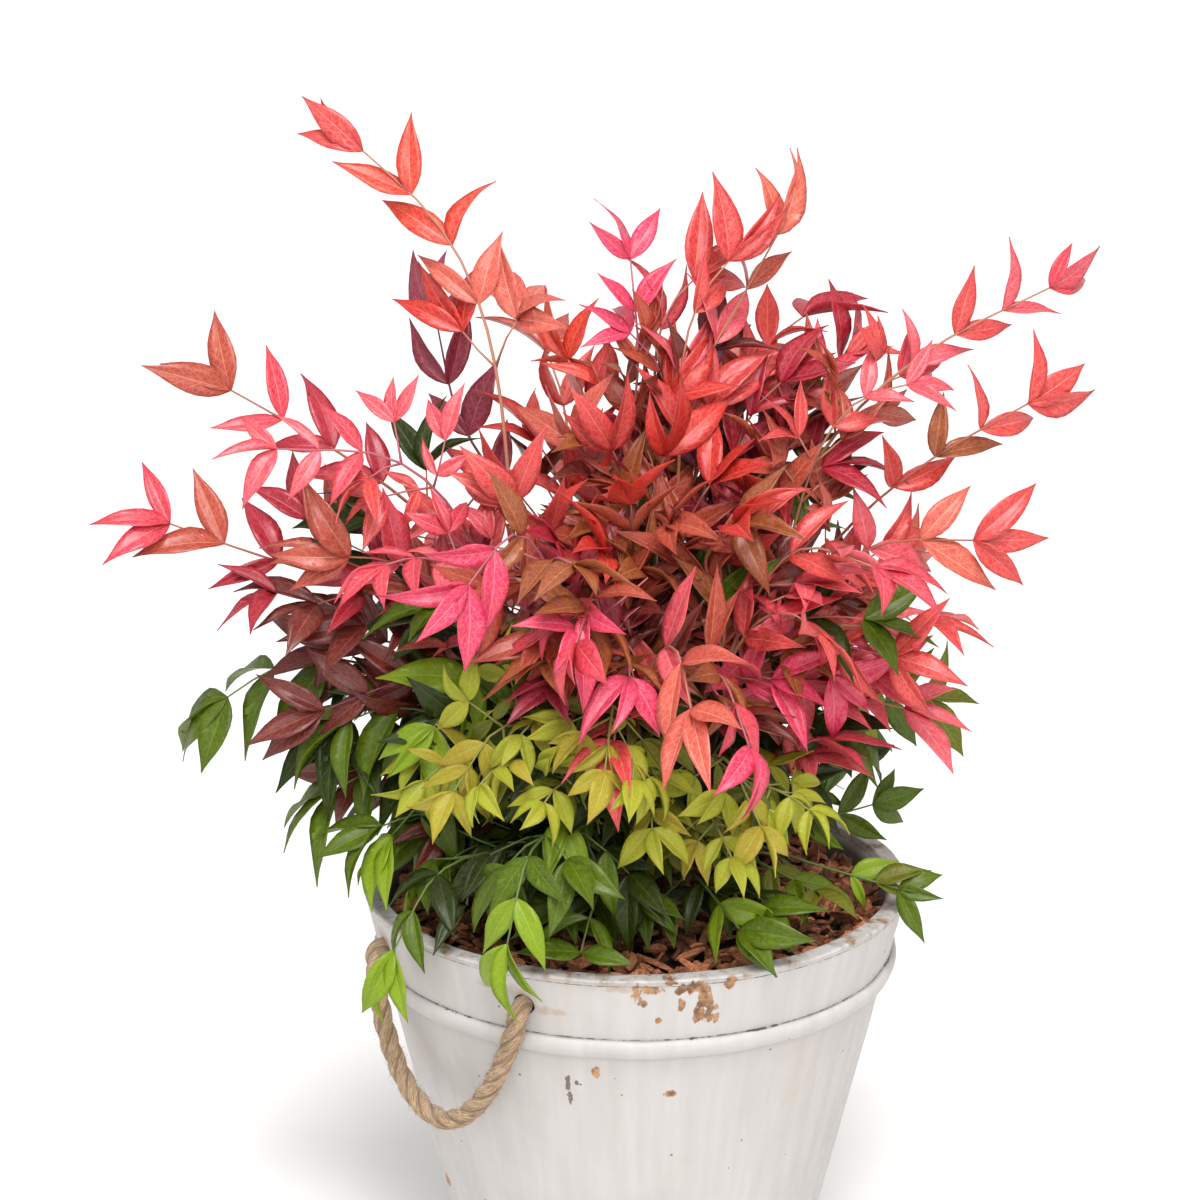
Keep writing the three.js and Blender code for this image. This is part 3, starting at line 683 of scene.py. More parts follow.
def jute_material():
    jute = Shader("jute", "#c09a6c", 0.92, Sheen_Weight=0.3)
    lay = jute.own_map()
    along, about, _ = jute.axes(lay)
    yarns = jute.noise(jute.stretched(lay, (12, 12, 1)), 2.0, 4.0, 0.65)
    hairs = jute.noise(jute.stretched(lay, (30, 60, 1)), 2.0, 3.0, 0.7)
    blotches = jute.noise(jute.stretched(lay, (6, 2, 1)), 1.5, 2.0)
    tan = jute.mix(yarns.ramp(0.36, 0.6), "#94653c", "#d8ac7c")
    tan = jute.mix(hairs.ramp(0.5, 0.58, 0.0, 0.9), tan, "#f6dcb2")
    tan = jute.mix(hairs.ramp(0.46, 0.38, 0.0, 0.85), tan, "#5f3a1e")
    in_strand = (about * LAID["strands"] + 0.5).math("FRACT")
    # painted shade: darker in the grooves between the strands
    tan = jute.mix(abs(in_strand - 0.5).ramp(0.34, 0.5, 0.0, 0.6), tan, "#5c381e")
    # darker towards both ends of the rope, where it goes into the wall, and in loose blotches
    darker_ends_and_blotches = abs(along - 0.5).ramp(0.42, 0.48, 0.0, 0.7).math("MAXIMUM", blotches.ramp(0.5, 0.75, 0.0, 0.25))
    jute.feed("Base Color", jute.mix(darker_ends_and_blotches, tan, "#6f5032"))
    jute.bump(yarns + hairs, 1.0, 0.0018)
    return jute.material


def rope_radius(turn, length):
    """The outline of three strands laid together, each with its own yarns."""
    third = 2 * math.pi / LAID["strands"]
    side = (turn + third / 2) % third - third / 2
    offset, radius = LAID["offset"], LAID["radius"]
    outline = offset * np.cos(side) + np.sqrt(radius**2 - (offset * np.sin(side)) ** 2)
    yarn = np.sin(LAID["yarns"] * (side * 3 + length / ROPE["lay"] * 4))
    return outline + LAID["yarn_depth"] * (np.abs(yarn) ** 0.7 - 0.6)


def lay_map(share, sides):
    """The corners' places on a map that runs along a tube and round it, within 0 and 1."""
    about = (np.arange(sides + 1) / sides + 1e-4) * 0.999
    places = np.stack(np.broadcast_arrays(share[:, None], about), -1)
    wall = places.reshape(-1, 2)[grid_faces(len(share), sides + 1, False)]
    return np.concatenate([wall.reshape(-1, 2), places[0, :-1][::-1], places[-1, :-1]])


def rope_handle(index, middle, material):
    route = handle_route(middle)
    line = Line(route)
    sides = ROPE_GRID["sides"]
    radius = rope_radius(circle(sides)[None, :], line.lengths[:, None])
    points = tube_points(route, radius, sides, 2 * np.pi * line.lengths / ROPE["lay"])
    spots = lay_map(line.lengths / line.length, sides)
    piece = piece_from(f"rope_{index}", points, tube_faces(len(route), sides), material, spots)
    fibres = rope_fibres(index, route, material)
    seat(piece, "jute", f"rope_handle_{index}")
    seat(fibres, "jute")
    tuple(route[0])
    ROPE["diameter"]
    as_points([tuple(p) for p in route[::2]] + [tuple(route[-1])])


def rope_fibres(index, route, material):
    """Short loose hairs that stand off the rope."""
    roll = dice(SEEDS["fibres"] + index)
    along, across, third = ring_frames(route)
    hairs = Tubes(3)
    for _ in range(FIBRES["count"]):
        i = FIBRES["bare_rings"] + int(roll() * (len(route) - 2 * FIBRES["bare_rings"]))
        turn = 2 * math.pi * roll()
        out = across[i] * math.cos(turn) + third[i] * math.sin(turn)
        start = route[i] + out * FIBRES["start"]
        if np.hypot(*start[:2]) < outer_radius(start[2]) + FIBRES["clear"]:
            continue
        length = between(FIBRES["length"], roll())
        way = unit(along[i] * (2.2 * roll() - 1.1) + out * (0.25 + 0.5 * roll()))
        bend = unit(way + out * 0.4 * (roll() - 0.5) + np.array([0, 0, -0.3]))
        middle = start + way * length / 2
        end = middle + bend * length / 2
        if np.linalg.norm(end - route[i]) <= FIBRES["reach"]:
            hairs.add([start, middle, end], [FIBRES["radius"]] * 3)
    return hairs.piece(f"rope_fibres_{index}", material)


# ---------------------------------------------------------------- bucket
BUCKET_SEGMENTS = 320
STAVE_GROOVE = {"depth": 0.5 * MM, "width": 1.4 * MM}
ROUND_OFF = 1.8 * MM
RIM_WEAR = {"depth": 0.9 * MM, "band": 4 * MM}
UNEVEN_WALL = 0.35 * MM
DRILL = {"reach": 24 * MM, "sides": 28}

# Each mark on the paint: degrees from +X, height, and half its width and half its height, in millimetres.
PAINT_LOSSES = [
    (270.5, 276, 4, 7),
    (273.5, 278, 7, 3),
    (272, 269, 2, 3),
    (277, 283, 4, 2),
    (279, 277, 5, 3),
    (279.5, 268, 2, 6),
    (282, 279, 8, 5),
    (284, 272, 4, 8),
    (285.5, 266, 4, 7),
    (284, 259, 6, 5),
    (286, 256, 4, 4),
    (289, 280, 5, 4),
    (275, 257, 2, 2),
    (261.5, 219, 3, 4),
    (278, 205, 4, 2),
    (60, 278, 14, 5),
    (66, 268, 6, 7),
    (118, 214, 7, 4),
    (150, 279, 12, 4),
    (20, 120, 6, 9),
    (310, 60, 5, 8),
    (200, 96, 6, 5),
    (95, 150, 5, 6),
]
SMUDGES = [(255.3, 207, 2.2, 9), (257.2, 211, 1.2, 1.6), (100, 190, 2, 8)]

# Tan smears in the paint, mostly round the rope holes.
STAINS = [
    (247, 268, 7, 7),
    (243, 271, 16, 4),
    (252, 260, 12, 3),
    (203.4, 268, 8, 7),
    (66, 268, 8, 7),
    (24, 268, 8, 7),
    (268, 279, 18, 3),
]

# The level and the half width of each thin dark line painted round the bucket as shade: in the seam where the
# hoop meets the wall, and in a groove under the rim.
SEAM_SHADE_LINES = [(HOOP["top"] + 0.5 * MM, 0.6 * MM), (BUCKET["height"] - 4.6 * MM, 0.42 * MM)]


def outer_radius(z):
    return BUCKET["base"] + (BUCKET["rim"] - BUCKET["base"]) * z / BUCKET["height"]


def inner_radius(z):
    return outer_radius(z) - BUCKET["wall"]


def bucket_profile():
    """Radius and height round the wall's section, from the middle of the underside to that of the floor."""
    height, floor, middle = BUCKET["height"], BUCKET["floor"], 40 * MM
    outer, inner, edge = outer_radius(height), inner_radius(height), 1.5 * MM
    profile = [(0.0, 0.0), (middle, 0.0), (outer_radius(0) - edge, 0.0), (outer_radius(0), edge)]
    profile += [(outer_radius(z), z) for z in np.linspace(6 * MM, height - ROUND_OFF, 44)]
    for turn in math.pi / 2 * np.arange(1, 8) / 8:
        away, drop = ROUND_OFF * (1 - math.cos(turn)), ROUND_OFF * (1 - math.sin(turn))
        profile.append((outer - away, height - drop))
    profile += [(outer - share * BUCKET["wall"], height) for share in (0.26, 0.45, 0.62, 0.74)]
    for turn in math.pi / 2 * np.arange(1, 7) / 7:
        away, drop = ROUND_OFF * (1 - math.sin(turn)), ROUND_OFF * (1 - math.cos(turn))
        profile.append((inner + away, height - drop))
    profile += [(inner_radius(z), z) for z in np.linspace(height - ROUND_OFF, floor, 14)]
    return profile + [(middle, floor), (0.0, floor)]


def bucket_shape(radius, height, turn):
    """Staves with painted-over joints, a slightly uneven wall and a worn rim."""
    wall = (radius > inner_radius(height) + 0.6 * BUCKET["wall"]) & (height > 3 * MM)
    stave = 2 * np.pi / STAVES
    side = (turn + stave / 3) % stave - stave / 2
    from_joint = (stave / 2 - np.abs(side)) * radius
    groove = STAVE_GROOVE["depth"] * np.exp(-((from_joint / STAVE_GROOVE["width"]) ** 2))
    uneven = UNEVEN_WALL * (waves(turn, height, 3) - 1)
    radius = radius + np.where(wall, uneven - groove, 0)
    top = np.clip((height - (BUCKET["height"] - RIM_WEAR["band"])) / RIM_WEAR["band"], 0, 1)
    return radius, height - RIM_WEAR["depth"] * top * (0.5 + 0.5 * waves(turn, 0 * height, 5, 14))


def rope_drills():
    """A rod through the wall at each rope hole."""
    side, sides = HANDLE_HALF[0][0], DRILL["sides"]
    for angle in [middle + sign * side for middle in HANDLE_ANGLES for sign in (1, -1)]:
        reach = around(angle, DRILL["reach"], 0)
        centre = around(angle, outer_radius(ROPE["hole_z"]), ROPE["hole_z"])
        points = tube_points([centre - reach, centre + reach], np.full((2, 1), ROPE["hole"]), sides)
        yield piece_from("drill", points, tube_faces(2, sides, False))


def drilled(piece):
    """Cuts the four rope holes through the wall."""
    drills = list(rope_drills())
    for drill in drills:
        cut = piece.modifiers.new("hole", "BOOLEAN")
        cut.operation = "DIFFERENCE"
        cut.object = drill
        cut.solver = "EXACT"
    depsgraph = bpy.context.evaluated_depsgraph_get()
    mesh = bpy.data.meshes.new_from_object(piece.evaluated_get(depsgraph))
    piece.modifiers.clear()
    piece.data = mesh
    for drill in drills:
        bpy.data.objects.remove(drill)
    mesh.set_sharp_from_angle(angle=math.radians(50))
    return piece


def spots_mask(turn, height, noise, spots, raggedness):
    """Below 1 inside the union of ragged spots, and higher the further away from them."""
    nearest = None
    for degrees, z, half_width, half_height in spots:
        angle = math.radians((degrees + 180) % 360 - 180)
        wide = (turn - angle) * (outer_radius(z * MM) / (half_width * MM))
        high = (height - z * MM) / (half_height * MM)
        away = wide * wide + high * high
        nearest = away if nearest is None else nearest.math("MINIMUM", away)
    return nearest + (noise - 0.5) * raggedness


def inner_wall_mask(x, y, height):
    """1 on the inside of the wall."""
    slope = (BUCKET["rim"] - BUCKET["base"]) / BUCKET["height"]
    past_wall = (x * x + y * y).math("SQRT") - (height * slope + inner_radius(0))
    return past_wall.ramp(1.6 * MM, 0.6 * MM)


def smudges_and_seam_shade(turn, height, noise):
    """Smudges, and thin dark lines of painted shade round the bucket, in the hoop's seam and a groove under
    the rim, that thin out here and there.
    """
    marks = spots_mask(turn, height, noise, SMUDGES, 7.0).ramp(0.95, 0.65)
    for level, width in SEAM_SHADE_LINES:
        # painted shade along the line, thinner where the noise is low
        seam_shade = abs(height - level).math("LESS_THAN", noise.ramp(0.38, 0.66, 0.0, width))
        marks = marks.math("MAXIMUM", seam_shade)
    return marks


def limewash_material():
    """White limewash over pine: brush streaks, stains, specks, smudges and places where the paint has gone,
    with painted shade on the inside of the wall and along the hoop's seam and a groove under the rim.
    """
    paint = Shader("limewash", "#e9e6e2", 0.62)
    place = paint.place()
    x, y, height = paint.axes(place)
    turn = y.math("ARCTAN2", x)
    drawn = paint.stretched(place, (1, 1, 0.5))
    rough = paint.noise(drawn, 210.0, 5.0, 0.65)
    fine = paint.noise(place, 160.0, 3.0, 0.6)
    cloud = paint.noise(place, 14.0, 4.0, 0.6)
    unrolled = paint.value("ShaderNodeCombineXYZ", "Vector", (0, turn), (2, height))
    streaks = paint.noise(paint.stretched(unrolled, (11, 1, 9)), 1.4, 4.0, 0.5)
    rim = height.ramp(BUCKET["height"] - 5 * MM, BUCKET["height"] - 0.5 * MM)
    rim_noise = paint.noise(drawn, 70.0, 4.0, 0.7)

    colour = paint.mix(streaks.ramp(0.3, 0.7), "#b9b4b1", "#c2bebb")
    colour = paint.mix(cloud.ramp(0.5, 0.78, 0.0, 0.6), colour, "#b1abaa")
    colour = paint.mix(paint.noise(place, 22.0, 3.0, 0.5).ramp(0.6, 0.8, 0.0, 0.35), colour, "#bda88f")
    stains = spots_mask(turn, height, fine, STAINS, 6.0)
    colour = paint.mix(stains.ramp(1.4, 0.0, 0.0, 0.5), colour, "#a98a6a")
    colour = paint.mix(rim * rim_noise.ramp(0.44, 0.6, 0.0, 0.6), colour, "#7c7262")

    lost = spots_mask(turn, height, rough, PAINT_LOSSES, 6.0).ramp(0.95, 0.65)
    lost = lost.math("MAXIMUM", rim * rim_noise.ramp(0.56, 0.63))
    colour = paint.mix(lost, colour, paint.mix(fine.ramp(0.35, 0.65), "#6b4830", "#bd9068"))

    # painted shade: the inside of the wall darkens unevenly towards the mulch
    inner_wall_shade = cloud.ramp(0.3, 0.5, 0.5, 0.9) * height.ramp(BUCKET["height"] - 6 * MM, MULCH_TOP, 0.1, 0.9)
    colour = paint.mix(inner_wall_mask(x, y, height) * inner_wall_shade, colour, "#2e2720")
    specks = paint.cells(place, 80.0).math("LESS_THAN", 0.07)
    specks = specks * paint.noise(place, 17.0, 2.0).math("GREATER_THAN", 0.5)
    colour = paint.mix(specks * 0.8, colour, "#57483f")
    # smudges, and painted shade along the hoop's seam and the groove under the rim
    paint.feed("Base Color", paint.mix(smudges_and_seam_shade(turn, height, rough) * 0.85, colour, "#5a473a"))
    paint.feed("Roughness", fine.ramp(0.3, 0.7, 0.5, 0.75))
    paint.bump(streaks * 0.6 - lost * 0.7 + fine * 0.35, 0.5, 0.0009)
    return paint.material


def make_bucket(material):
    bucket = lathe("planter_bucket", bucket_profile(), BUCKET_SEGMENTS, material, bucket_shape)
    seat(drilled(bucket), "limewash", "bucket")


def make_hoop(material):
    """A half-round band that grips the staves."""
    top, height, inset = HOOP["top"], HOOP["height"], 0.2 * MM
    bottom = top - height
    profile = [(outer_radius(bottom) - inset, bottom)]
    for turn in math.pi * np.arange(1, 14) / 14:
        z = bottom + height * (1 - math.cos(turn)) / 2
        profile.append((outer_radius(z) + GAP + HOOP["depth"] * math.sin(turn) ** 0.8, z))
    profile.append((outer_radius(top) - inset, top))

    def uneven(radius, z, turn):
        return radius + 0.25 * MM * (waves(turn, z, 21) - 1), z + 0.4 * MM * waves(turn, 0 * z, 23, 5)

    seat(lathe("planter_hoop", profile, BUCKET_SEGMENTS, material, uneven), "limewash", "hoop")


# ---------------------------------------------------------------- soil and bark chips
SOIL = {"rings": 46, "segments": 150, "clods": 1.4 * MM, "off_wall": 0.6 * MM, "inside": 0.8 * MM}
CHIPS = {"count": 1150, "length": (9, 25), "width": (4, 10), "thickness": (1.5, 4), "depth": 10 * MM}
CHIP_KINDS = {"red": ("#824024", "#e89c70"), "brown": ("#482416", "#a06642")}
CHIP_REACH = (20 * MM, 3 * MM)  # from the bucket's axis, and from its wall

# How far along a chip its cross-sections are, and how wide they are, as shares.
CHIP_SECTIONS = ((-0.5, 0.35), (-0.2, 1.0), (0.18, 0.9), (0.5, 0.4))


def soil_material():
    soil = Shader("potting_mix", "#2a1c14", 0.95)
    place = soil.place()
    clods = soil.noise(place, 90.0, 4.0, 0.7)
    soil.feed("Base Color", soil.mix(clods.ramp(0.35, 0.7), "#170f0a", "#43301f"))
    soil.bump(soil.cells(place, 420.0) + clods, 0.9, 0.003)
    return soil.material


def bark_material(name, dark, light):
    bark = Shader(name, light, 0.85)
    place = bark.place()
    grain = bark.noise(bark.stretched(place, (1, 1, 2.5)), 240.0, 5.0, 0.7)
    coloured = bark.mix(grain.ramp(0.32, 0.68), dark, light)
    patch = bark.noise(place, 60.0, 2.0).ramp(0.5, 0.75, 0.0, 0.5)
    bark.feed("Base Color", bark.mix(patch, coloured, "#3a1d12"))
    bark.bump(grain, 0.9, 0.0012)
    return bark.material


def make_soil():
    """The potting mix: a filled body with an uneven top, on the bucket's floor."""
    floor, top = BUCKET["floor"] + GAP, SOIL_TOP - 1.5 * MM
    edge = inner_radius(SOIL_TOP) - SOIL["inside"]
    profile = [(0.0, floor), (30 * MM, floor), (inner_radius(floor) - SOIL["off_wall"], floor)]
    profile += [(inner_radius(z) - SOIL["off_wall"], z) for z in np.linspace(40 * MM, SOIL_TOP - 3 * MM, 6)]
    profile += [(edge * k / SOIL["rings"], top) for k in range(SOIL["rings"], -1, -1)]

    def cloddy(radius, z, turn):
        bumps = waves(turn * 3, radius * 9, 31, 12) * SOIL["clods"]
        fade = np.clip((edge - radius) / (8 * MM), 0, 1)
        return radius, z + np.where(z > SOIL_TOP - 2 * MM, bumps * fade, 0)

    seat(lathe("potting_mix", profile, SOIL["segments"], soil_material(), cloddy), "potting_soil", "soil")


def chip_points(roll, centre, heading, tilt, size):
    """A splinter of bark: uneven four-sided cross-sections, pinched at the ends."""
    length, width, thick = size
    level = math.cos(tilt)
    along = np.array([math.cos(heading) * level, math.sin(heading) * level, math.sin(tilt)])
    side = unit(np.cross(np.array([0, 0, 1.0]), along))
    side = turned_about(side, along, 2.0 * (roll() - 0.5))
    up = np.cross(along, side)
    points = []
    for share, pinch in CHIP_SECTIONS:
        for a, b in ((1, 1), (-1, 1), (-1, -1), (1, -1)):
            wide = width / 2 * pinch * (0.7 + 0.6 * roll())
            high = thick / 2 * (0.5 + 0.5 * pinch) * (0.7 + 0.6 * roll())
            stretch = share * length * (0.85 + 0.3 * roll())
            points.append(centre + along * stretch + side * a * wide + up * b * high)
    return points


def make_chips():
    """Bark chips strewn over the mix, one piece for each of two kinds."""
    roll = dice(SEEDS["chips"])
    cloud = {kind: [] for kind in CHIP_KINDS}
    inner, outer = CHIP_REACH[0], inner_radius(MULCH_TOP) - CHIP_REACH[1]
    for _ in range(CHIPS["count"]):
        size = [between(CHIPS[side], roll() ** 1.4) * MM for side in ("length", "width", "thickness")]
        reach = math.sqrt(inner**2 + (outer**2 - inner**2) * roll())
        reach = min(reach, outer - size[0] * 0.35)
        where = around(360 * roll(), reach, SOIL_TOP + 1 * MM + roll() * CHIPS["depth"])
        kind = "red" if roll() < 0.6 else "brown"
        cloud[kind].append(chip_points(roll, where, 2 * math.pi * roll(), 1.2 * (roll() - 0.5), size))
    for kind, colours in CHIP_KINDS.items():
        points = np.array(cloud[kind])
        points[:, :, 2] = np.clip(points[:, :, 2], SOIL_TOP - 3 * MM, MULCH_TOP + 5 * MM)
        shape = tube_faces(len(CHIP_SECTIONS), 4, False)
        groups = [(copies(faces, *points.shape[:2]), smooth) for faces, smooth in shape]
        material = bark_material(f"bark_{kind}", *colours)
        piece = piece_from(f"bark_chips_{kind}", points.reshape(-1, 3), groups, material)
        seat(piece, "bark_chips", "bark_mulch")


# ---------------------------------------------------------------- canes
CANE_MESH = {"rings": 90, "sides": 20, "ridge": 0.35 * MM, "foot": 2.0 * MM, "foot_height": 6 * MM}
CANE_JOINT = {"height": 0.9 * MM, "width": 2.2 * MM, "step": 27 * MM, "shift": 9 * MM}


def cane_line(index):
    height = CANE_HEIGHTS[index] * MM
    azimuth = CANE_AZIMUTH + 360 * (index - 1) / (len(CANE_HEIGHTS) - 1)
    foot = CANE_RING if index else 0
    lean = CANE_LEAN["outer"] if index else CANE_LEAN["upright"]
    line = []
    for share in (0, 0.05, 0.3, 0.6, 0.85, 1):
        reach = foot + lean * share ** CANE_LEAN["power"]
        line.append(around(azimuth, reach, SOIL_TOP + GAP + height * share))
    return line


def cane_material():
    bark = Shader("cane_bark", "#7a6244", 0.85)
    place = bark.place()
    ridges = bark.noise(bark.stretched(place, (1, 1, 0.12)), 900.0, 4.0, 0.6)
    coloured = bark.mix(ridges.ramp(0.3, 0.7), "#4b3726", "#96795a")
    patches = bark.noise(place, 70.0, 3.0).ramp(0.45, 0.7, 0.0, 0.5)
    bark.feed("Base Color", bark.mix(patches, coloured, "#6b5a48"))
    bark.bump(ridges, 0.9, 0.0012)
    return bark.material


def make_canes():
    """Ridged bark with the rings that old leaf sheaths leave."""
    material = cane_material()
    rings, sides = CANE_MESH["rings"], CANE_MESH["sides"]
    turn = circle(sides)[None, :]
    for index in range(len(CANE_HEIGHTS)):
        line = Line(smooth_through(cane_line(index), rings))
        radius = between(CANE_RADII, line.lengths / line.length)
        radius = radius + CANE_MESH["foot"] * np.exp(-line.lengths / CANE_MESH["foot_height"])
        step = (line.lengths + index * CANE_JOINT["shift"]) % CANE_JOINT["step"]
        radius = radius + CANE_JOINT["height"] * np.exp(-((step / CANE_JOINT["width"]) ** 2))
        ridges = 1 + 0.5 * np.sin(7 * turn) + 0.5 * np.sin(11 * turn + 1.3 * index)
        points = tube_points(line.points, radius[:, None] - CANE_MESH["ridge"] * ridges / 2, sides)
        piece = piece_from(f"bark_cane_{index + 1}", points, tube_faces(rings, sides), material)
        seat(piece, "cane_bark", f"cane_{index + 1}")


# ---------------------------------------------------------------- sprays
# Blades face up and out, and those at the plant's sides turn to its front.
FACING = {"up": 0.75, "out": 0.5, "front": 0.9, "behind": 0.27, "twist": 110, "fold": -0.3, "roll": 1.7}


def bezier(a, b, c, d, shares):
    t = np.asarray(shares)[:, None]
    return a * (1 - t) ** 3 + 3 * b * t * (1 - t) ** 2 + 3 * c * t**2 * (1 - t) + d * t**3


def facing_of(azimuth):
    out = around(azimuth, FACING["out"], FACING["up"])
    if out[1] < FACING["behind"]:
        out[1] -= FACING["front"] * abs(math.cos(math.radians(azimuth)))
    return unit(out)


def zones_of(palette):
    return [zone.split() for zone in palette.split(",")]


class Spray:
    """One compound leaf: its arching stalk, which carries leaflets and twigs."""

    def __init__(self, seed, mass, name, tint, azimuth, reach, rise, pitch):
        self.mass = mass
        self.name = name
        self.tint = tint
        self.azimuth = azimuth
        self.reach = reach
        self.rise = rise
        self.pitch = pitch
        self.tip = around(azimuth, reach * MM, BUCKET["height"] + rise * MM)
        lift = math.radians(pitch)
        self.heading = around(azimuth, math.cos(lift), math.sin(lift))
        self.roll = dice(seed)
        self.leaf = TINTS[tint]["leaf"] * GROWN.get(name, 1.0) * MM
        self.depth = 0.0
        openness = (rise - OPENING["from"]) / (OPENING["to"] - OPENING["from"])
        self.openness = 0 if name in DENSE else min(max(openness, 0), 1)
        self.zones = zones_of(PALETTES[WEARS.get(name, tint)])
        self.facing = facing_of(azimuth)

    def root_at(self, cane, share):
        """A stalk at the cane's tip grows straight on from it; the others leave its side."""
        self.share = share
        self.at_tip = share == 1
        axis = cane.along(share * cane.length, 0.5 * MM)
        out = around(self.azimuth, 1, 0)
        self.stub = axis if self.at_tip else unit(out - axis * (out @ axis))
        skin = 0 if self.at_tip else between(CANE_RADII, share)
        self.root = cane.at(share * cane.length) + self.stub * (skin + GAP)

    def curve(self, aside, shares, leaf):
        start = self.root + self.stub * STALK["stub"]
        end = self.tip - self.heading * SET_BACK * leaf
        span = np.linalg.norm(end - start)
        climb = math.atan2(end[2] - start[2], np.hypot(*(end - start)[:2]))
        most = STALK_LIFT["at_tip"] if self.at_tip else STALK_LIFT["at_side"]
        lift = min(climb + math.radians(STALK_LIFT["extra"]), math.radians(most))
        leave = around(self.azimuth + aside, math.cos(lift), math.sin(lift))
        handle = STALK["handle"] * span
        return bezier(start, start + leave * handle, end - self.heading * handle, end, shares)

    def follow_solid(self):
        """Takes the sideways swerve that the solid's stalk has, then grows the stalk on to its real end."""
        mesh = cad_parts[f"spray_{self.name}"].data
        solid = np.zeros(len(mesh.vertices) * 3, np.float32)
        mesh.vertices.foreach_get("co", solid)
        solid = solid.reshape(-1, 3)
        solid_leaf = TINTS[self.tint]["solid"] * MM

        def misfit(aside):
            centres = self.curve(aside, [0.2, 0.4, 0.6, 0.8], solid_leaf)
            return sum(np.linalg.norm(solid - centre, axis=1).min() for centre in centres)

        curve = self.curve(min(ASIDE, key=misfit), np.linspace(0, 1, 36), solid_leaf)
        grown = SET_BACK * (solid_leaf - self.leaf)
        end = [self.tip - self.heading * (SET_BACK * self.leaf + grown * k / 4) for k in (3, 2, 1, 0)]
        self.settle([self.root, *curve, *end])

    def grow_from(self, cane, share, count=24):
        """Roots the stalk and lets it arch to its tip."""
        self.root_at(cane, share)
        self.settle([self.root, *self.curve(0, np.linspace(0, 1, count), self.leaf)])

    def settle(self, points):
        self.line = Line(points)
        self.reach_line = np.vstack([self.line.at(self.line.length * k / 6) for k in range(7)] + [self.tip])
        self.twist = math.radians(FACING["twist"]) * (self.roll() - 0.5)


def companions(spray, cane):
    """The smaller compound leaves of a mass, below and beside its main stalk."""
    grown = []
    roll = spray.roll
    most = FEWER.get(spray.name, 1 if spray.rise > LONE_RISE else len(COMPANIONS[spray.tint]))
    rows = OWN_COMPANIONS.get(spray.name, COMPANIONS[spray.tint][:most])
    for k, (turn, reach_share, lift) in enumerate(rows):
        azimuth = spray.azimuth + turn + SCATTER["turn"] * (roll() - 0.5)
        reach = spray.reach * reach_share * (0.94 + SCATTER["reach"] * roll())
        rise = spray.rise + lift + SCATTER["rise"] * (roll() - 0.5)
        pitch = spray.pitch * COMPANION["pitch"] + SCATTER["pitch"] * (roll() - 0.6)
        if spray.rise > 0:
            rise = max(rise, COMPANION["lowest"])
        if spray.name not in OWN_COMPANIONS:
            top = COMPANION_TOP["middle"] + COMPANION_TOP["side"] * math.cos(math.radians(azimuth))
            rise = min(rise, top + SCATTER["top"] * (roll() - 0.5))
        seed = SEEDS["companion"] + 97 * k + spray.mass * 11
        row = (spray.name, spray.tint, azimuth, min(reach, COMPANION["reach"]), rise, pitch)
        leaf = Spray(seed, spray.mass, *row)
        if spray.tint != "lime":
            leaf.depth = COMPANION_DEPTH["first"] + COMPANION_DEPTH["step"] * k
        leaf.leaf *= COMPANION["size"]
        share = spray.share - COMPANION["below"] - COMPANION["step"] * k
        leaf.grow_from(cane, min(max(share, 0.05), 0.92), 30)
        grown.append(leaf)
    return grown


def nearest_mass(masses, tip):
    return min(masses, key=lambda mass: np.linalg.norm(mass.line.points - tip, axis=1).min())


def heart_leaf(c, k, cane, masses):
    """A short leaf far down a cane, which belongs to the nearest mass."""
    roll = dice(SEEDS["heart_place"] + 31 * c + k)
    azimuth = GOLDEN_TURN * (k + 1.7 * c) % 360
    share = HEART["first"] + HEART["span"] * (k + 0.7 * roll()) / HEART["per_cane"]
    length = between(HEART["reach"], roll()) * (0.75 + 0.5 * share) * MM
    rise = between(HEART["rise"], roll()) * MM
    tip = cane.at(share * cane.length) + around(azimuth, length, rise)
    mass = nearest_mass(masses, tip)
    level = "high" if tip[2] > BUCKET["height"] + HEART_LINE else "low"
    tint = "red" if level == "high" else "green"
    toward = math.degrees(math.atan2(tip[1], tip[0]))
    reach = np.hypot(tip[0], tip[1]) / MM
    rise = max((tip[2] - BUCKET["height"]) / MM, 6)
    row = (mass.name, tint, toward, reach, rise, 20 * (roll() - 0.4))
    leaf = Spray(SEEDS["heart"] + 17 * c + k, mass.mass, *row)
    leaf.azimuth = azimuth
    leaf.heading = unit(around(azimuth, 1, 0.3 * (roll() - 0.4)))
    leaf.zones = zones_of(HEART_PALETTES[level]) * 3
    leaf.leaf *= HEART["size"]
    leaf.grow_from(cane, share)
    return leaf


def crown_leaf(k, cane, masses):
    """An upright leaf from the middle cane, which belongs to the nearest mass."""
    roll = dice(SEEDS["crown_place"] + 13 * k)
    azimuth = CROWN["start"] + GOLDEN_TURN * k % 360
    reach = between(CROWN["reach"], roll())
    outward = reach / CROWN["reach"][1]
    rise = between(CROWN["rise"], roll() * outward)
    rise += CROWN["side"] * math.cos(math.radians(azimuth)) * outward
    mass = nearest_mass(masses, around(azimuth, reach * MM, BUCKET["height"] + rise * MM))
    row = (mass.name, "red", azimuth, reach, rise, CROWN["pitch"])
    leaf = Spray(SEEDS["crown"] + 7 * k, mass.mass, *row)
    leaf.grow_from(cane, between(CROWN_SHARES, roll()))
    return leaf


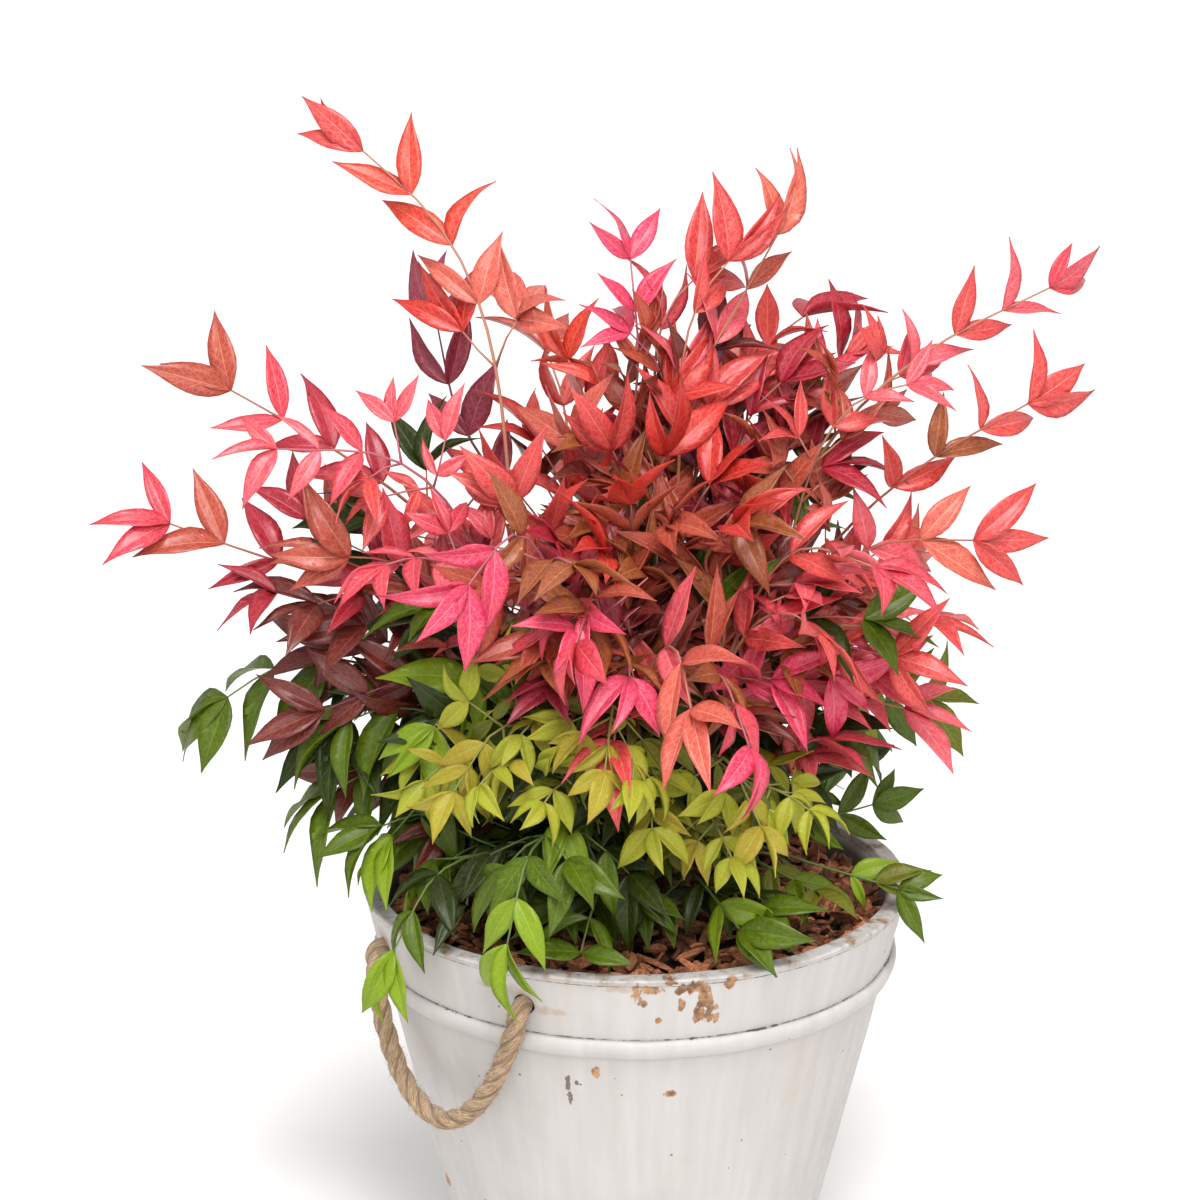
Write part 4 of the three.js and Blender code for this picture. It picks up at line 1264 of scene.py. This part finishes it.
def all_rows():
    rows = list(SPRAYS)
    for name, tint, azimuths, reach, rise, pitch in FAR_RINGS:
        for i, azimuth in enumerate(azimuths):
            swing = 1 if i % 2 else -1
            row = (reach + FAR_SWING["reach"] * swing, rise + FAR_SWING["rise"] * swing, pitch)
            rows.append((f"{name}_{i + 1}", tint, azimuth, *row))
    return rows


def nearest_cane(spray):
    """Upright sprays grow from the middle cane, the others from the cane on their own side."""
    if spray.reach <= UPRIGHT_REACH:
        return 0
    outer = len(CANE_HEIGHTS) - 1
    return 1 + math.floor(((spray.azimuth - CANE_AZIMUTH) % 360) / (360 / outer) + 0.5) % outer


def main_sprays(canes):
    """The main stalk of every mass, rooted up the canes in the order of their tips' heights."""
    sprays = [Spray(SEEDS["mass"] + i, i, *row) for i, row in enumerate(all_rows())]
    for c, cane in enumerate(canes):
        members = sorted((s for s in sprays if nearest_cane(s) == c), key=lambda spray: spray.tip[2])
        for order, spray in enumerate(members):
            last = order == len(members) - 1
            low, high = SPRAY_SHARES
            spray.root_at(cane, 1 if last else low + (high - low) * order / (len(members) - 1))
            spray.follow_solid()
    return sprays


# ---------------------------------------------------------------- twigs and leaflets
ROOM_EASE = 1.35  # how much nearer another mass's stalk may be before a leaflet is left out
CLEAR_OF_BUCKET = 4 * MM
PAST_BOX = 2 * MM
TRIES = [0, 0.4, -0.4, 0.8, -0.8]
LIFT = {"pitch": 0.3, "chance": 0.4}
NODE_STEP = 0.6
TWIG_GROWTH = {"per_length": 0.34, "start": 4 * MM}
DROOP = {"least": 0.15, "spread": 0.95}
SICKLE = 0.26  # how far a leaflet's tip may lie off its straight line, as a share of its length


def cover_counts(places):
    """How many of the places lie outside each one, on its own way out of the crown. The counts set how much
    painted shade a leaflet gets.
    """
    ways = places - np.array(COVER_SHADE["heart"])
    ways /= np.linalg.norm(ways, axis=1)[:, None]
    counts = []
    for place, way in zip(places, ways):
        off = places - place
        ahead = off @ way
        aside = np.linalg.norm(off - ahead[:, None] * way, axis=1)
        counts.append(np.count_nonzero((ahead > COVER_SHADE["ahead"]) & (aside < COVER_SHADE["aside"])))
    return counts


def clear_of_bucket(point, gap=CLEAR_OF_BUCKET):
    radius, z = np.hypot(point[0], point[1]), point[2]
    if z > BUCKET["height"] + gap:
        return True
    if radius < inner_radius(z) - gap:
        return z > MULCH_TOP + gap
    return radius > outer_radius(z) + HOOP["depth"] + gap


def in_box(point):
    low, high = CAD_BOX
    return all(low[k] - PAST_BOX < point[k] < high[k] + PAST_BOX for k in range(3))


class Foliage:
    """Collects the twigs and leaflets of all the sprays."""

    def __init__(self, sprays, mass_count):
        lines = [spray.reach_line for spray in sprays]
        self.starts = np.concatenate([line[:-1] for line in lines])
        self.ways = np.concatenate([np.diff(line, axis=0) for line in lines])
        self.squares = (self.ways**2).sum(1)
        self.owners = np.repeat([spray.mass for spray in sprays], [len(line) - 1 for line in lines])
        self.mass_count = mass_count
        self.groups = []
        self.leaflets = defaultdict(list)
        self.leaf_nodes = defaultdict(set)
        self.twigs = {tint: Tubes(5) for tint in TINTS}
        self.twig_nodes = defaultdict(set)

    def fits(self, spray, spine):
        """Whether a leaflet is clear of the bucket, within the plant's box and nearest to its own mass."""
        if not (all(clear_of_bucket(point) for point in spine) and in_box(spine[-1])):
            return False
        off = spine[1] - self.starts
        share = np.clip(np.einsum("ij,ij->i", off, self.ways) / self.squares, 0, 1)
        away = np.full(self.mass_count, np.inf)
        np.minimum.at(away, self.owners, np.linalg.norm(off - self.ways * share[:, None], axis=1))
        own = away[spray.mass]
        away[spray.mass] = np.inf
        return own < away.min() * ROOM_EASE

    def add_twig(self, spray, line, radii):
        self.twigs[spray.tint].add(line, radii)
        self.twig_nodes[spray.tint].add(f"spray_{spray.name}")

    def deal_shades(self):
        """Every pair or trio of leaflets takes one shade of its mass: darker further in, and darker under
        others as painted shade.
        """
        covers = cover_counts(np.array([middle for _, _, _, middle, _ in self.groups]))
        for (spray, from_tip, roll, _, group), cover in zip(self.groups, covers):
            inward = sum(from_tip > edge for edge in ZONES)
            shade_from_cover = sum(cover > edge for edge in COVER_SHADE["zones"])
            # painted shade: the more leaflets lie outside a pair or trio, the darker the shade it takes
            zone = spray.zones[max(inward, shade_from_cover)]
            shade = zone[int(roll * len(zone))]
            self.leaflets[shade] += group
            if group:
                self.leaf_nodes[shade].add(f"spray_{spray.name}")


def frame_at(along, spray):
    """Across the stalk, in the plane of its leaflets, and the way that their blades face."""
    side = np.cross(along, spray.facing)
    if side @ side < 0.01:
        side = around(spray.azimuth - 90, 1, 0)
    side = turned_about(unit(side), along, spray.twist)
    return side, unit(np.cross(side, along))


def leaf_direction(along, side, sign, spread, spray):
    tint = TINTS[spray.tint]
    turn = math.radians(tint["angle"] * (0.85 + 0.3 * spray.roll())) * spread
    rise = LIFT["pitch"] * math.sin(math.radians(spray.pitch)) + LIFT["chance"] * (spray.roll() - 0.5)
    rise += tint["rise"]
    return unit(along * math.cos(turn) + side * sign * math.sin(turn) + np.array([0, 0, rise]))


def spine_of(base, way, normal, size, droop, sideways):
    """Four points along a leaflet's midrib, which droops and curves to one side."""
    share = np.array([0.2, 0.45, 0.75, 1.0])[:, None]
    aside = np.cross(normal, way) * sideways * share**2
    return base + aside + (way * np.sin(droop * share) - normal * (1 - np.cos(droop * share))) * size / droop


def add_leaflet(foliage, group, spray, base, along, normal, length):
    """Adds a leaflet, turned aside where it wouldn't fit straight on, or leaves it out."""
    aside = unit(np.cross(normal, along))
    rolls = [spray.roll() for _ in range(5)]  # for its droop, fold, twist, drawing and width
    droop = DROOP["least"] + DROOP["spread"] * rolls[0]
    for swing in TRIES:
        way = unit(along + aside * swing + normal * 0.5 * abs(swing))
        over = unit(normal - way * (normal @ way))
        size = length * (1 - 0.15 * abs(swing))
        sideways = SICKLE * size * (rolls[2] - 0.5)
        if foliage.fits(spray, spine_of(base, way, over, size, droop, sideways)):
            group.append((base, way, normal, size, *rolls))
            return


def add_leaflets(foliage, spray, at, along, with_middle, scale, from_tip):
    """A pair of leaflets and, at the end of a stalk, a third between them."""
    side, up = frame_at(along, spray)
    group = []
    foliage.groups.append((spray, from_tip + spray.depth, spray.roll(), at + along * spray.leaf / 2, group))
    for sign in (0, 1, -1) if with_middle else (1, -1):
        way = leaf_direction(along, side, sign, 1, spray) if sign else along
        tilt = FACING["roll"] * (spray.roll() - 0.5) + FACING["fold"] * sign
        normal = up + side * tilt + np.array([0, 0, 0.25])
        length = spray.leaf * scale * (0.8 + 0.36 * spray.roll())
        add_leaflet(foliage, group, spray, at, way, unit(normal), length)


def add_twig(foliage, spray, at, along, sign, length, from_tip):
    side, _ = frame_at(along, spray)
    way = leaf_direction(along, side, sign, 1.1, spray)
    bow = np.array([0, 0, 0.18 * length * (spray.roll() - 0.3)])
    end = at + way * length
    if not (clear_of_bucket(end) and in_box(end)):
        add_leaflets(foliage, spray, at, way, True, 0.85, from_tip)
        return
    line = Line([at, at + way * length * 0.5 + bow, end])
    foliage.add_twig(spray, line.points, [TWIG_RADII[0], sum(TWIG_RADII) / 2, TWIG_RADII[1]])
    add_leaflets(foliage, spray, end, line.along(length), True, 0.95, from_tip)
    step = NODE_STEP * spray.leaf
    for k in range(1, int((length - 0.3 * step) / step) + 1):
        place = length - k * step
        add_leaflets(foliage, spray, line.at(place), line.along(place), False, 0.85, from_tip + k * step)


def grow(foliage, spray):
    """Nodes are evenly spaced along the outer part of the stalk: three leaflets at the end, then a pair,
    then side twigs that lengthen inwards."""
    line = spray.line
    bare = BARE.get(spray.name, BARE_SHARE + OPENING["bare"] * spray.openness)
    leafy = line.length * (1 - bare)
    step = NODE_STEP * spray.leaf * (1 + OPENING["step"] * spray.openness)
    count = max(2, round(leafy / step))
    growth = TWIG_GROWTH["per_length"] * (1 - OPENING["twig"] * spray.openness)
    shares = np.linspace(0, 1, 14)
    foliage.add_twig(spray, [line.at(line.length * s) for s in shares], between(STALK["radii"], shares))
    for i in range(count + 1):
        from_tip = i * leafy / count
        place = line.length - from_tip
        at, along = line.at(place), line.along(place)
        twig = TWIG_GROWTH["start"] + growth * from_tip
        if i == 0:
            add_leaflets(foliage, spray, at, spray.heading, True, 1, 0)
        elif twig < 0.55 * spray.leaf:
            add_leaflets(foliage, spray, at, along, False, 0.97, from_tip)
        else:
            for sign in (1, -1):
                length = twig * (0.85 + 0.3 * spray.roll())
                add_twig(foliage, spray, at, along, sign, length, from_tip * 0.8)


# ---------------------------------------------------------------- leaflet meshes
STATIONS = np.array([0.0, 0.05, 0.12, 0.22, 0.34, 0.46, 0.58, 0.7, 0.81, 0.91, 1.0])
HALF_WIDTHS = np.array([0.06, 0.3, 0.6, 0.87, 1.0, 0.97, 0.83, 0.6, 0.35, 0.15, 0.012])
COLUMNS = np.array([-1.0, -0.5, -0.045, 0.045, 0.5, 1.0])
UNDER_COLUMNS = np.array([-1.0, 0.0, 1.0])
WIDTH_SPREAD = 0.3
TWIST = 1.1  # by how many radians the tips of two leaflets can differ
FOLD = {"least": 0.12, "spread": 0.62}
WAVE = {"height": 0.016, "turns": 1.6}
LEAF_THICKNESS = 0.35 * MM
QUILT = 0.3 * MM
MAP_TILES = 4
MAP_EDGE = 0.04  # the margin of a tile that no leaflet uses


def leaflet_points(rows, width_share):
    """The points of many leaflets at once: the top grid, then the underside's three columns."""
    base, way, normal, size, droop_roll, fold_roll, twist_roll, _, width_roll = map(np.array, zip(*rows))
    across = np.cross(normal, way)
    across /= np.linalg.norm(across, axis=1)[:, None]
    normal = np.cross(way, across)[:, None]
    way, across = way[:, None], across[:, None]
    droop = (DROOP["least"] + DROOP["spread"] * droop_roll)[:, None]
    fold = (FOLD["least"] + FOLD["spread"] * fold_roll)[:, None, None]
    bend = droop * STATIONS
    forward = (size[:, None] * np.sin(bend) / droop)[:, :, None]
    down = (-size[:, None] * (1 - np.cos(bend)) / droop)[:, :, None]
    sideways = ((SICKLE * size * (twist_roll - 0.5))[:, None] * STATIONS**2)[:, :, None]
    spine = base[:, None] + forward * way + down * normal + sideways * across
    lift = np.sin(bend)[:, :, None] * way + np.cos(bend)[:, :, None] * normal
    turn = (((twist_roll - 0.5) * TWIST)[:, None] * STATIONS)[:, :, None]
    flat = (np.cos(turn) * across + np.sin(turn) * lift)[:, :, None]
    lift = (np.cos(turn) * lift - np.sin(turn) * across)[:, :, None]
    half = (size * width_share * (1 + WIDTH_SPREAD * (width_roll - 0.5)))[:, None] / 2 * HALF_WIDTHS
    wave = np.sin(2 * np.pi * (WAVE["turns"] * STATIONS + droop_roll[:, None] * 3))
    wave = (WAVE["height"] * size[:, None] * wave * HALF_WIDTHS)[:, :, None]
    ripple = QUILT * np.cos(np.pi * np.arange(len(STATIONS)))[None, :, None]

    def grid(columns, below):
        reach = half[:, :, None] * columns
        rise = np.abs(reach) * np.sin(fold) + wave * columns**2 - below
        rise = rise + ripple * (np.abs(np.abs(columns) - 0.5) < 0.1)
        wide = reach * np.cos(fold)
        points = spine[:, :, None] + wide[..., None] * flat + rise[..., None] * lift
        return points.reshape(len(rows), -1, 3)

    return np.concatenate([grid(COLUMNS, 0.0), grid(UNDER_COLUMNS, LEAF_THICKNESS)], 1)


def leaflet_faces():
    """One leaflet's face groups, each with its place on the leaf map: blade, underside, edges and ends."""
    rows, columns = len(STATIONS), len(COLUMNS)
    start, last = rows * columns, columns - 1
    top = grid_faces(rows, columns, False)
    under = grid_faces(rows, 3, False)[:, ::-1] + start
    i = np.arange(rows - 1)
    left = np.stack([i * columns, (i + 1) * columns, start + (i + 1) * 3, start + i * 3], -1)
    right = np.stack(
        [i * columns + last, start + i * 3 + 2, start + (i + 1) * 3 + 2, (i + 1) * columns + last], -1
    )
    sides = np.concatenate([left, right])
    root = np.concatenate([np.arange(columns)[::-1], start + np.arange(3)])[None, :]
    tip = np.concatenate([start - columns + np.arange(columns), start + rows * 3 - 1 - np.arange(3)])[None, :]
    length = np.concatenate([np.repeat(STATIONS, columns), np.repeat(STATIONS, 3)])
    width = np.concatenate([np.tile(COLUMNS, rows), np.tile(UNDER_COLUMNS, rows)])
    spots = np.stack([length, (width + 1) / 2], -1)
    edge = spots.copy()
    edge[start:, 1] = 0.5 + (edge[start:, 1] - 0.5) * 0.9
    ends = edge.copy()
    ends[start:, 0] = 0.5 + (ends[start:, 0] - 0.5) * 0.96
    blocks = [
        (top, True, spots[top]),
        (under, True, spots[under] + np.array([0, MAP_TILES / 2])),
        (sides, False, edge[sides]),
        (root, False, ends[root]),
        (tip, False, ends[tip]),
    ]
    return [(faces[:, ::-1], smooth, places[:, ::-1]) for faces, smooth, places in blocks]


def leaf_piece(rows, shade, tint):
    """All the leaflets of a shade. Each has one of a few drawings on the leaf map."""
    points = leaflet_points(rows, TINTS[tint]["width"])
    drawing = (np.array([row[7] for row in rows]) * MAP_TILES**2 / 2).astype(int)
    tile = np.stack([drawing % MAP_TILES, drawing // MAP_TILES], -1)[:, None, None, :]
    groups, spots = [], []
    for faces, smooth, places in leaflet_faces():
        groups.append((copies(faces, *points.shape[:2]), smooth))
        whole = np.floor(places / (1 + 1e-9))
        inset = whole + MAP_EDGE + (places - whole) * (1 - 2 * MAP_EDGE)
        spots.append(((inset[None] + tile) / MAP_TILES).reshape(-1, 2))
    material = leaf_material(shade, tint)
    return piece_from(f"leaflets_{shade}", points.reshape(-1, 3), groups, material, np.concatenate(spots))


def make_leaves(foliage):
    for tint, shades in SHADES.items():
        for shade in shades:
            if foliage.leaflets[shade]:
                piece = leaf_piece(foliage.leaflets[shade], shade, tint)
                seat(piece, f"{tint}_leaf", *sorted(foliage.leaf_nodes[shade]))


# ---------------------------------------------------------------- leaf and twig materials
MAP_SIZE = (220, 80, 1)
SIDE_VEINS = {"count": 8.0, "sweep": 1.7, "wobble": 0.5}

# How waxy and how shiny a leaf is, how clear its veins are and how pale its edge is.
FINISH = {"wax": 0.42, "shine": 0.35, "veins": 1.0, "margin": 0.3}
OTHER_FINISHES = {
    "green": {"wax": 0.2, "shine": 0.2, "veins": 0.6, "margin": 0.6},
    "lime": {"wax": 0.1, "shine": 0.2, "veins": 0.7, "margin": 0.4},
}


def leaf_material(shade, tint):
    """A leaf's colours, drawn once on the leaf map: mottling, a midrib, side veins and a darker tip."""
    top, vein, tip = SHADES[tint][shade]
    finish = OTHER_FINISHES.get(tint, FINISH)
    gloss = {"Coat_Weight": finish["wax"], "Coat_Roughness": 0.3, "Specular_IOR_Level": finish["shine"]}
    leaf = Shader(f"leaf_{shade}", top, 0.42, **gloss)
    spot = leaf.own_map()
    tiles = leaf.vector("MULTIPLY", spot, (MAP_TILES, MAP_TILES, 1))
    along, across, _ = leaf.axes(leaf.vector("FRACTION", tiles))
    own = leaf.value("ShaderNodeTexWhiteNoise", "Value", ("Vector", leaf.vector("FLOOR", tiles)))
    below = leaf.axes(spot)[1].math("GREATER_THAN", 0.5)
    flat = leaf.stretched(spot, MAP_SIZE)
    mottle = leaf.noise(flat, 0.16, 3.0, 0.6)
    fine = leaf.noise(flat, 0.9, 2.0, 0.6)
    away = abs(across - 0.5) * 2.0
    rib = away.ramp(0.06, 0.03)
    phase = along * SIDE_VEINS["count"] - away * SIDE_VEINS["sweep"] + mottle * SIDE_VEINS["wobble"]
    veins = abs(phase.math("FRACT") - 0.5).ramp(0.42, 0.49) * away.ramp(1.0, 0.6)
    net = leaf.cells(flat, 0.27, feature="DISTANCE_TO_EDGE").ramp(0.1, 0.02, 0.0, 0.22)
    lines = (veins * 0.4).math("MAXIMUM", net) * finish["veins"]

    blade = leaf.mix(mottle.ramp(0.35, 0.68), mixed_colour(top, tip, 0.4), mixed_colour(top, vein, 0.12))
    blade = leaf.mix(own * 0.3, blade, tip)
    blade = leaf.mix(along.ramp(0.72, 1.0, 0.0, 0.75), blade, tip)
    blade = leaf.mix(lines, blade, vein)
    blade = leaf.mix(rib * (0.48 * finish["veins"]), blade, vein)
    blade = leaf.mix(away.ramp(0.88, 0.98, 0.0, finish["margin"]), blade, vein)

    under = mixed_colour(top, vein, 0.3)
    back = leaf.mix(mottle.ramp(0.3, 0.7), mixed_colour(under, tip, 0.35), under)
    back = leaf.mix(lines, back, vein)
    back = leaf.mix(rib * 0.6, back, mixed_colour(vein, top, 0.3))
    leaf.feed("Base Color", leaf.mix(below, blade, back))
    leaf.feed("Roughness", fine.ramp(0.3, 0.7, 0.36, 0.5))
    leaf.bump(fine * 0.3 - (veins * 0.7 + rib), 0.45, 0.0005)
    return leaf.material


def twig_material(tint):
    bark = Shader(f"twig_{tint}", TINTS[tint]["twig"], 0.6)
    grain = bark.noise(bark.place(), 500.0, 3.0, 0.6)
    bark.feed("Roughness", grain.ramp(0.3, 0.7, 0.45, 0.7))
    bark.bump(grain, 0.4, 0.0005)
    return bark.material


def make_foliage():
    canes = [Line(cane_line(i)) for i in range(len(CANE_HEIGHTS))]
    masses = main_sprays(canes)
    sprays = list(masses)
    for spray in masses:
        sprays += companions(spray, canes[nearest_cane(spray)])
    for c, cane in enumerate(canes):
        sprays += [heart_leaf(c, k, cane, masses) for k in range(HEART["per_cane"])]
    sprays += [crown_leaf(k, canes[0], masses) for k in range(CROWN["count"])]
    sprays = [s for s in sprays if all(clear_of_bucket(p, 1 * MM) for p in s.line.points)]
    foliage = Foliage(sprays, len(masses))
    for spray in sprays:
        grow(foliage, spray)
    foliage.deal_shades()
    for tint, tubes in foliage.twigs.items():
        piece = tubes.piece(f"twigs_{tint}", twig_material(tint))
        seat(piece, f"{tint}_leaf", *sorted(foliage.twig_nodes[tint]))
    make_leaves(foliage)


# ---------------------------------------------------------------- floor and light
def make_stage():
    floor = Shader("floor", "#f4f3f1", 0.8)
    grain = floor.noise(floor.place(), 3.0, 3.0)
    floor.feed("Base Color", floor.mix(grain.ramp(0.3, 0.7), "#f2f1ef", "#f7f6f4"))
    size = 12.0
    points = [(-size, -size, 0), (size, -size, 0), (size, size, 0), (-size, size, 0)]
    piece = piece_from("floor", points, [(np.array([[0, 1, 2, 3]]), False)], floor.material)
    piece.location.z = -0.5 * MM
    piece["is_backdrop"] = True


def lamp(name, kind, place, aim, **settings):
    """A lamp that shines from its place towards its aim."""
    data = bpy.data.lights.new(name, kind)
    for setting, value in settings.items():
        setattr(data, setting, value)
    way = np.array(place) - np.array(aim)
    tilt = math.atan2(math.hypot(way[0], way[1]), way[2])
    placed(name, data, place, (tilt, 0, math.atan2(way[1], way[0]) + math.pi / 2))


def make_light():
    world = bpy.data.worlds.new("studio")
    world.use_nodes = True
    background = world.node_tree.nodes["Background"]
    background.inputs["Color"].default_value = (1.0, 1.0, 1.0, 1.0)
    background.inputs["Strength"].default_value = 0.7
    bpy.context.scene.world = world
    bpy.context.scene.view_settings.view_transform = "Standard"
    lamp("softbox", "AREA", (0.2, -2.2, 2.0), (0, 0, 0.5), shape="DISK", size=1.0, energy=30.0)
    lamp("key", "SUN", (0.1, -0.9, 1.8), (0, 0, 0), energy=2.1, angle=math.radians(20))


def main():
    make_camera()
    jute = jute_material()
    for index, middle in enumerate(HANDLE_ANGLES, 1):
        rope_handle(index, middle, jute)
    limewash = limewash_material()
    make_bucket(limewash)
    make_hoop(limewash)
    make_soil()
    make_chips()
    make_canes()
    make_foliage()
    make_stage()
    make_light()


main()

boxes = {"cad": CAD_BOX, "visual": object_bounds()}
{name: [list(corner) for corner in box] for name, box in boxes.items()}
